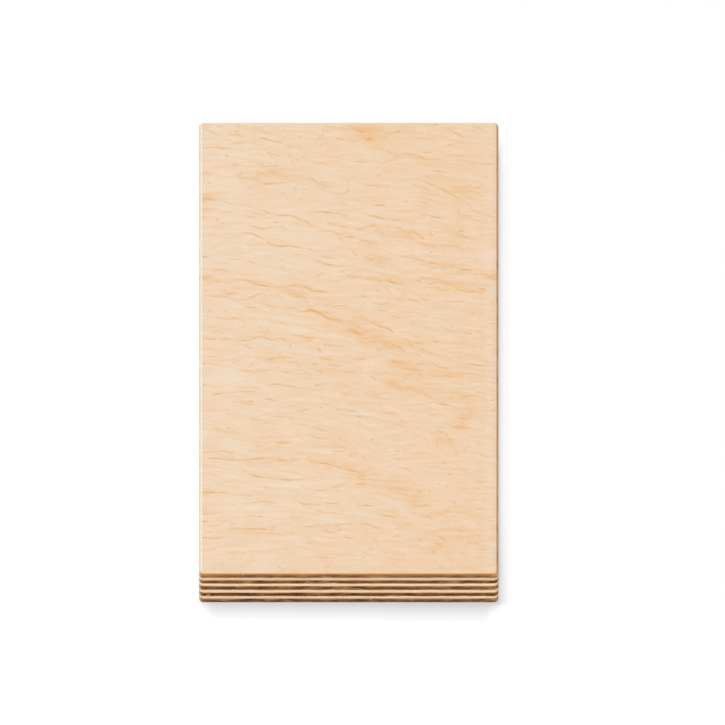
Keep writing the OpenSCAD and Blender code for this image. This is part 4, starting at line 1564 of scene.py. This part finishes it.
@dataclass(frozen=True)
class Finish:
    """What the finishes of the veneers have in common.

    Attributes:
        name: The material's name.
        roughness: Range of roughness over the surface.
        relief: Height of the bump.
        gloss: How strongly the surface reflects.
    """

    name: str
    roughness: Point = (0.5, 0.65)
    relief: float = 0.02 * MM
    gloss: float = 0.3

    def paint(self, bench: Bench, place: Socket) -> tuple[Socket, Socket]:
        """Adds the nodes for colour and surface.

        Args:
            bench: The shader's bench.
            place: The place on the piece, in millimetres.

        Returns:
            The sockets of the colour, and of the surface's height from 0 to 1.
        """
        raise NotImplementedError

    def material(self) -> bpy.types.Material:
        """Makes the material.

        Returns:
            The new material.
        """
        material = bpy.data.materials.new(self.name)
        material.use_nodes = True
        bench = Bench(material.node_tree)
        shader = material.node_tree.nodes["Principled BSDF"]
        objects = bench.add("ShaderNodeTexCoord").outputs["Object"]
        place = bench.scaled(objects, 1 / MM)
        colour, height = self.paint(bench, place)
        rough = bench.remap(height, 0.3, 0.7, self.roughness[1], self.roughness[0])
        bump = bench.add("ShaderNodeBump", {"Height": height, "Distance": self.relief, "Strength": 0.5})
        shader.inputs["Specular IOR Level"].default_value = self.gloss
        links = material.node_tree.links
        links.new(colour, shader.inputs["Base Color"])
        links.new(rough, shader.inputs["Roughness"])
        links.new(bump.outputs[0], shader.inputs["Normal"])
        return material


@dataclass(frozen=True)
class FaceFinish(Finish):
    """Sanded birch with its figure, turning to brown at the edge, partly as painted shade on the right,
    with a painted highlight along the rim and painted golden light at the near right corner.
    """

    pale: Colour = tone(242, 220, 196)
    warm: Colour = tone(235, 192, 142)
    stroke: Colour = tone(228, 160, 70)
    gleam: Colour = tone(253, 240, 223)
    golden: Colour = tone(206, 136, 52)
    brown: BrownWood = BrownWood(deep=tone(78, 36, 6), body=tone(116, 68, 26), worn=tone(168, 116, 62))

    def along_grain(self, bench: Bench, place: Socket) -> Socket:
        """Turns places into ones laid straight along the wavy grain, which leans down to the right.

        Args:
            bench: The shader's bench.
            place: The place on the piece, in millimetres.

        Returns:
            The socket of the straightened place.
        """
        broad = bench.noise(place, (0.035, 0.05, 0.05), 37.0, 1.0)
        tight = bench.noise(place, (0.13, 0.20, 0.20), 41.0, 1.0)
        side = bench.split(place)[0]
        slope = bench.plus(bench.times(side, 0.0011), 0.09)
        lean = bench.times(side, slope)
        swing = bench.swing(broad, 9.0)
        ripple = bench.swing(tight, 2.4)
        lift = bench.plus(bench.plus(lean, swing), ripple)
        return bench.vector("ADD", place, bench.joined(y=lift))

    def paint(self, bench: Bench, place: Socket) -> tuple[Socket, Socket]:
        """Adds the nodes for the figured face and its eased edge.

        Args:
            bench: The shader's bench.
            place: The place on the piece, in millimetres.

        Returns:
            The sockets of the colour and of the surface's height.
        """
        grain = self.along_grain(bench, place)
        band = bench.noise(grain, (0.11, 0.75, 0.5), 17.0, 3.0, 0.6)
        fibre = bench.noise(grain, (0.42, 2.3, 2.3), 5.0, 2.0, 0.6)
        pore = bench.noise(place, (2.2, 1.8, 2.0), 51.0, 1.0)
        side, ahead, _ = bench.split(place)
        near_rim = bench.remap(ahead, -75.5, -78.5, 0.0, 0.11)
        right_rim = bench.remap(side, 35.5, 38.0, 0.0, -0.15)
        rims = bench.plus(near_rim, right_rim)
        warmth = bench.plus(bench.remap(side, -40.0, 40.0, 0.32, 0.46), rims)
        for layer, weight in ((band, 1.45), (fibre, 0.9), (pore, 0.45)):
            swing = bench.swing(layer, weight)
            warmth = bench.plus(warmth, swing)
        patches = bench.times(bench.attribute("warmth"), bench.remap(band, 0.3, 0.7, 0.6, 1.1))
        base = bench.blend(bench.plus(warmth, patches, True), self.pale, self.warm)
        figure = bench.attribute("figure")
        broken = bench.noise(place, (0.9, 3.0, 1.0), 23.0, 2.0)
        weight = bench.remap(broken, 0.32, 0.62, 0.65, 1.0)
        dark = bench.times(bench.times(figure, 1.15, True), weight)
        light = bench.remap(figure, 0.0, -1.0)
        stroked = bench.blend(dark, base, self.stroke)
        streaked = bench.blend(light, stroked, self.gleam)
        # Painted highlight along the rim of the face, strongest along the left edge.
        rim_highlight = bench.blend(bench.attribute("rim_highlight"), streaked, self.gleam)
        # The edge's brown, which on the right side stands partly for painted shade.
        bared_and_shaded = bench.attribute("bared_and_shaded")
        across = bench.attribute("across")
        turning = bench.blend(bench.attribute("gilded"), rim_highlight, self.golden)
        browned = self.brown.colour(bench, place, across)
        glow = bench.remap(across, 0.1, 0.75, 0.0, 0.40)
        patchy = bench.noise(place, (0.13, 0.13, 0.0), 43.0, 2.0)
        gilt = bench.times(glow, bench.remap(patchy, 0.36, 0.64, 0.45, 1.4))
        # The golden at the near right corner is painted light.
        lit = bench.plus(gilt, LIT_RIGHT_CORNER.share(bench, place))
        sun = bench.less(lit, bench.times(bench.attribute("shade"), 4.0), True)
        sunned = bench.blend(sun, browned, self.golden)
        colour = bench.blend(bared_and_shaded, turning, sunned)
        height = bench.less(fibre, bench.times(dark, 0.15))
        return colour, height


@dataclass(frozen=True)
class LongPlyFinish(Finish):
    """The edge of a brown inner ply."""

    brown: BrownWood = BrownWood()

    def paint(self, bench: Bench, place: Socket) -> tuple[Socket, Socket]:
        """Adds the nodes for the brown edge."""
        grain = bench.noise(place, (2.2, 2.2, 3.0), 7.0, 3.0, 0.6)
        return self.brown.colour(bench, place, bench.attribute("across")), grain


@dataclass(frozen=True)
class CrossPlyFinish(Finish):
    """The edge of a pale inner ply."""

    corner_highlight: Colour = tone(253, 244, 232)
    cream: Colour = tone(249, 227, 197)
    body: Colour = tone(240, 213, 179)
    dull: Colour = tone(222, 191, 156)
    shade: Colour = tone(198, 144, 84)

    def paint(self, bench: Bench, place: Socket) -> tuple[Socket, Socket]:
        """Adds the nodes for the cream edge, with its soft brown lower line, painted shade at the near
        right corner and a painted highlight at the near left one.

        Args:
            bench: The shader's bench.
            place: The place on the piece, in millimetres.

        Returns:
            The sockets of the colour and of the surface's height.
        """
        streak = bench.noise(place, (0.14, 0.14, 2.2), 13.0, 3.0, 0.6)
        grain = bench.noise(place, (2.0, 2.0, 4.0), 19.0, 3.0, 0.6)
        fresh = bench.blend(bench.remap(streak, 0.35, 0.65), self.cream, self.body)
        base = bench.blend(bench.attribute("shade"), fresh, self.dull)
        across = bench.attribute("across")
        foot = bench.remap(across, 0.0, 0.36, 0.8, 0.0)
        wander = bench.noise(place, (0.3, 0.3, 0.3), 47.0, 2.0)
        drift = bench.swing(wander, 0.9)
        head = bench.remap(bench.plus(across, drift), 0.74, 1.0, 0.0, 0.85)
        speck = bench.remap(grain, 0.55, 0.75, 0.0, 0.3)
        # Painted shade dulls the cream ends at the near right corner.
        corner = RIGHT_CORNER_SHADE.share(bench, place)
        stain_and_shade = bench.most(bench.most(foot, head), bench.most(speck, corner))
        stained_and_shaded = bench.blend(stain_and_shade, base, self.shade)
        # Painted highlight on the rounded near left corner.
        return bench.blend(LEFT_CORNER_HIGHLIGHT.share(bench, place), stained_and_shaded, self.corner_highlight), grain


@dataclass
class Veneer:
    """One ply of the sheet.

    Attributes:
        node: The ply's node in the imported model.
        order: Its place in the stack, counted up from the back veneer.
        finish: Its material.
        figure: The figure of an outer veneer, or nothing for an inner ply.
        ring_spacing: Longest step along the rim of an inner ply.
        ease_steps: Number of points round the ease of an outer veneer.
        wave: How far a glue line may wander up and down.
        wave_length: How long its waves are.
        piece: The finished object.
    """

    node: str
    order: int
    finish: bpy.types.Material
    figure: Figure | None = None
    ring_spacing: float = 0.4 * MM
    ease_steps: int = 8
    wave: float = 0.45 * MM
    wave_length: float = 9.0 * MM
    piece: bpy.types.Object = field(init=False)

    def build(self, outline: Outline, tree: VeneerTree) -> None:
        """Makes the veneer's mesh.

        Args:
            outline: The plan of the plies.
            tree: The tree that takes the edge section round the sheet.
        """
        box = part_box(self.node)
        kind = PlyKind.of_node(self.node)
        base = box[0][2] + GLUE_LINE_LIFTS[self.order]
        top = box[1][2] + GLUE_LINE_LIFTS[self.order + 1]
        outer = kind in (PlyKind.FACE, PlyKind.BACK)
        upper_ease = EASE_RADIUS if outer else GLUE_LINE_EASE
        if self.figure:
            sheet = self.figure.sheet(outline, upper_ease)
        else:
            sheet = self._plain_sheet(outline, upper_ease)
        self.piece = bpy.data.objects.new(f"{self.node}_dressed", sheet)
        bpy.context.scene.collection.objects.link(self.piece)
        values = {
            "Half Width": outline.half_width,
            "Half Length": outline.half_length,
            "Corner Radius": outline.corner_radius,
            "Thickness": top - base,
            "Upper Ease": upper_ease,
            "Lower Ease": GLUE_LINE_EASE,
            "Base Height": base,
            "Upper Wave": 0.0 if kind is PlyKind.FACE else self.wave,
            "Lower Wave": 0.0 if kind is PlyKind.BACK else self.wave,
            "Wave Length": self.wave_length,
            "Upper Seed": GLUE_LINE_SEED_STEP * (self.order + 1),
            "Lower Seed": GLUE_LINE_SEED_STEP * self.order,
            "Turned Over": 1.0 if kind is PlyKind.BACK else 0.0,
            "Shade": PLY_SHADES[self.order],
            "Ease Steps": self.ease_steps if outer else GLUE_LINE_STEPS,
            "Finish": self.finish,
        }
        tree.run(self.piece, values)

    def _plain_sheet(self, outline: Outline, inset: float) -> bpy.types.Mesh:
        """Makes a flat sheet with no figure.

        Args:
            outline: The plan of the plies.
            inset: How far inside the outline the flat ends.

        Returns:
            The flat sheet at height zero.
        """
        ring = outline.ring(inset, self.ring_spacing)
        mesh = bpy.data.meshes.new("plain_sheet")
        mesh.from_pydata([(x, y, 0.0) for x, y in ring], [], [tuple(range(len(ring)))])
        return mesh

    def dress(self) -> None:
        """Ties the veneer to its body and its node."""
        self.piece.visible_diffuse = False
        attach(self.piece, "root")
        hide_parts(self.node)
        PlyKind.of_node(self.node).slot
        mesh = self.piece.data
        LOG.info("%s: %d points, %d faces", self.piece.name, len(mesh.vertices), len(mesh.polygons))


@dataclass
class LayUp:
    """The stack of nine veneers that the sheet is glued up from.

    Attributes:
        outline: The plan of the plies.
        veneers: The plies, from the bottom up.
    """

    outline: Outline
    veneers: list[Veneer] = field(default_factory=list)

    def build(self) -> None:
        """Makes every veneer, from the back one up to the face."""
        tree = VeneerTree()
        face_finish = FaceFinish("sanded_birch_face", roughness=(0.42, 0.6)).material()
        finishes = {
            PlyKind.FACE: face_finish,
            PlyKind.BACK: face_finish,
            PlyKind.CROSS: CrossPlyFinish("cream_cross_ply_edge", gloss=0.12).material(),
            PlyKind.LONG: LongPlyFinish("brown_long_ply_edge", gloss=0.08).material(),
        }
        figures = {
            PlyKind.FACE: Figure(FACE_GRAIN, FACE_ZONES, fleck_count=260, seed=7),
            PlyKind.BACK: Figure((), (), fleck_count=1000, seed=31),
        }
        nodes = sorted(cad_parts, key=lambda node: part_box(node)[0][2])
        for order, node in enumerate(nodes):
            kind = PlyKind.of_node(node)
            veneer = Veneer(node, order, finishes[kind], figures.get(kind))
            veneer.build(self.outline, tree)
            self.veneers.append(veneer)

    def dress(self) -> None:
        """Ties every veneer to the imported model."""
        for veneer in self.veneers:
            veneer.dress()


@dataclass
class Studio:
    """The plain white floor, the soft lights and the camera.

    Attributes:
        frame_pixels: Side of the square picture.
        pixel: Width of one pixel at the sheet, in metres.
        elevation: How steeply the camera looks down, in degrees.
        shift_pixels: How far left of the picture's middle the sheet lies.
        camera_distance: From the sheet to the camera.
        floor_reach: From the middle of the floor to its sides.
        floor_gap: How far the floor lies below the sheet.
        floor_seen: How much light the floor sends back to the camera.
        floor_glow: Its own glow to the camera.
        floor_bounce: How much light it sends back to the sheet.
        bounce_glow: Its own glow to the sheet.
        sky: Strength of the even light from all round.
        lamp_distance: From the sheet to each lamp.
    """

    frame_pixels: int = 725
    pixel: float = 0.26706 * MM
    elevation: float = 49.0
    shift_pixels: float = 13.9
    camera_distance: float = 1.0
    floor_reach: float = 3.0
    floor_gap: float = 0.05 * MM
    floor_seen: float = 0.64
    floor_glow: float = 0.38
    floor_bounce: float = 0.9
    bounce_glow: float = 0.45
    sky: float = 0.15
    lamp_distance: float = 10.0

    def build(self) -> None:
        """Makes the floor, world, lights and camera."""
        self._floor()
        self._world()
        self._lamp("key_light", (-0.12, 0.27, 0.95), 0.385, (0.24, 0.54))
        self._lamp("back_light", (-0.025, 0.27, 0.96), 0.165, (0.05, 0.54))
        self._lamp("fill_light", (0.0, -0.615, 0.788), 0.30, (0.14, 0.14))
        self._camera()
        settings = bpy.context.scene.view_settings
        settings.view_transform = "Standard"

    def _seen(self, bench: Bench) -> Socket:
        """Gives 1 for what the camera sees, straight or in a reflection, and 0 for light that bounces.

        Args:
            bench: The shader's bench.

        Returns:
            The socket of that share.
        """
        path = bench.add("ShaderNodeLightPath").outputs
        glossy = bench.most(path["Is Glossy Ray"], path["Is Transmission Ray"])
        return bench.most(path["Is Camera Ray"], glossy)

    def _floor(self) -> None:
        """Lays the floor, white to the camera and with the sheet's shadow on it."""
        reach = self.floor_reach
        corners = [(x * reach, y * reach, -self.floor_gap) for x, y in ((-1, -1), (1, -1), (1, 1), (-1, 1))]
        mesh = bpy.data.meshes.new("floor")
        mesh.from_pydata(corners, [], [(0, 1, 2, 3)])
        floor = bpy.data.objects.new("floor", mesh)
        bpy.context.scene.collection.objects.link(floor)
        material = bpy.data.materials.new("white_floor")
        material.use_nodes = True
        tree = material.node_tree
        tree.nodes.remove(tree.nodes["Principled BSDF"])
        bench = Bench(tree)
        shade = bench.add("ShaderNodeBsdfDiffuse", {"Color": (self.floor_seen,) * 3 + (1.0,)}).outputs[0]
        glow = bench.add("ShaderNodeEmission", {"Strength": self._open_glow(bench)}).outputs[0]
        seen = bench.add("ShaderNodeAddShader", {0: shade, 1: glow}).outputs[0]
        matt = bench.add("ShaderNodeBsdfDiffuse", {"Color": (self.floor_bounce,) * 3 + (1.0,)}).outputs[0]
        lift = bench.add("ShaderNodeEmission", {"Strength": self.bounce_glow}).outputs[0]
        bounce = bench.add("ShaderNodeAddShader", {0: matt, 1: lift}).outputs[0]
        mixed = bench.add("ShaderNodeMixShader", {0: self._seen(bench), 1: bounce, 2: seen}).outputs[0]
        tree.links.new(mixed, tree.nodes["Material Output"].inputs["Surface"])
        mesh.materials.append(material)

    def _open_glow(self, bench: Bench) -> Socket:
        """Gives the floor's own glow, by which the soft shadow is fitted to the sheet.

        The glow is painted light where the shadow dies away past the near corners and a little from left to
        right, painted light and shadow along the strip beside the right edge, and painted shadow where that
        strip ends at the far corner.

        Args:
            bench: The floor shader's bench.

        Returns:
            The socket of the glow's strength.
        """
        place = bench.add("ShaderNodeTexCoord").outputs["Object"]
        ways = bench.split(bench.scaled(place, 1 / MM))
        left = bench.remap(ways[0], -40.5, -35.0, 0.20, 0.0)
        right = bench.remap(ways[0], 36.0, 40.5, 0.0, 0.20)
        ahead = bench.remap(ways[1], -79.0, -82.5)
        ends = bench.most(left, bench.times(right, ahead))
        fading = bench.plus(ends, bench.remap(ways[0], -40.0, 40.0, 0.035, 0.0))
        strip = bench.times(bench.remap(ways[0], 43.5, 40.5), bench.remap(ways[1], -81.5, -79.5))
        beside = bench.times(bench.remap(ways[1], -79.0, -35.0, -0.05, 0.05), strip)
        rise = bench.times(bench.remap(ways[1], 86.0, 80.0), bench.remap(ways[1], 76.5, 79.5))
        gloom = bench.times(rise, bench.remap(ways[0], 43.0, 40.0, 0.0, 0.16))
        level = bench.less(bench.plus(fading, beside), gloom)
        return bench.plus(level, self.floor_glow)

    def _world(self) -> None:
        """Sets a weak even sky, white where the camera sees it."""
        world = bpy.data.worlds.new("studio_sky")
        bpy.context.scene.world = world
        world.use_nodes = True
        bench = Bench(world.node_tree)
        strength = bench.add("ShaderNodeMix", {0: self._seen(bench), 2: self.sky, 3: 1.0}).outputs[0]
        background = world.node_tree.nodes["Background"]
        background.inputs["Color"].default_value = (1.0, 1.0, 1.0, 1.0)
        world.node_tree.links.new(strength, background.inputs["Strength"])

    def _lamp(self, name: str, towards: Triple, share: float, spread: Point) -> None:
        """Hangs a broad soft box far off.

        Args:
            name: The lamp's name.
            towards: Direction from the sheet to the lamp.
            share: The share of the face's light that it gives.
            spread: Its width and length as seen from the sheet, in radians.
        """
        way = Vector(towards).normalized()
        lamp = bpy.data.lights.new(name, "AREA")
        lamp.shape = "RECTANGLE"
        lamp.size = spread[0] * self.lamp_distance
        lamp.size_y = spread[1] * self.lamp_distance
        lamp.energy = share * math.pi**2 * self.lamp_distance**2 / way.z
        holder = bpy.data.objects.new(name, lamp)
        holder.rotation_euler = way.to_track_quat("Z", "Y").to_euler()
        holder.location = way * self.lamp_distance
        bpy.context.scene.collection.objects.link(holder)

    def _camera(self) -> None:
        """Sets the camera, which sees the sheet in parallel, from the front and above."""
        low, high = CAD_BOX
        slope = math.radians(self.elevation)
        target = Vector((self.shift_pixels * self.pixel, 0.0, (low[2] + high[2]) / 2))
        towards = Vector((0.0, -math.cos(slope), math.sin(slope)))
        lens = bpy.data.cameras.new("camera")
        lens.type = "ORTHO"
        lens.ortho_scale = self.frame_pixels * self.pixel
        camera = bpy.data.objects.new("camera", lens)
        camera.location = target + towards * self.camera_distance
        camera.rotation_euler = towards.to_track_quat("Z", "Y").to_euler()
        bpy.context.scene.collection.objects.link(camera)
        bpy.context.scene.camera = camera


def main() -> None:
    """Lays up the sheet, dresses it and sets up the studio."""
    logging.basicConfig(level=logging.INFO, format="%(name)s: %(message)s")
    lay_up = LayUp(Outline.of_frame())
    lay_up.build()
    lay_up.dress()
    Studio().build()


if __name__ == "__main__":
    main()
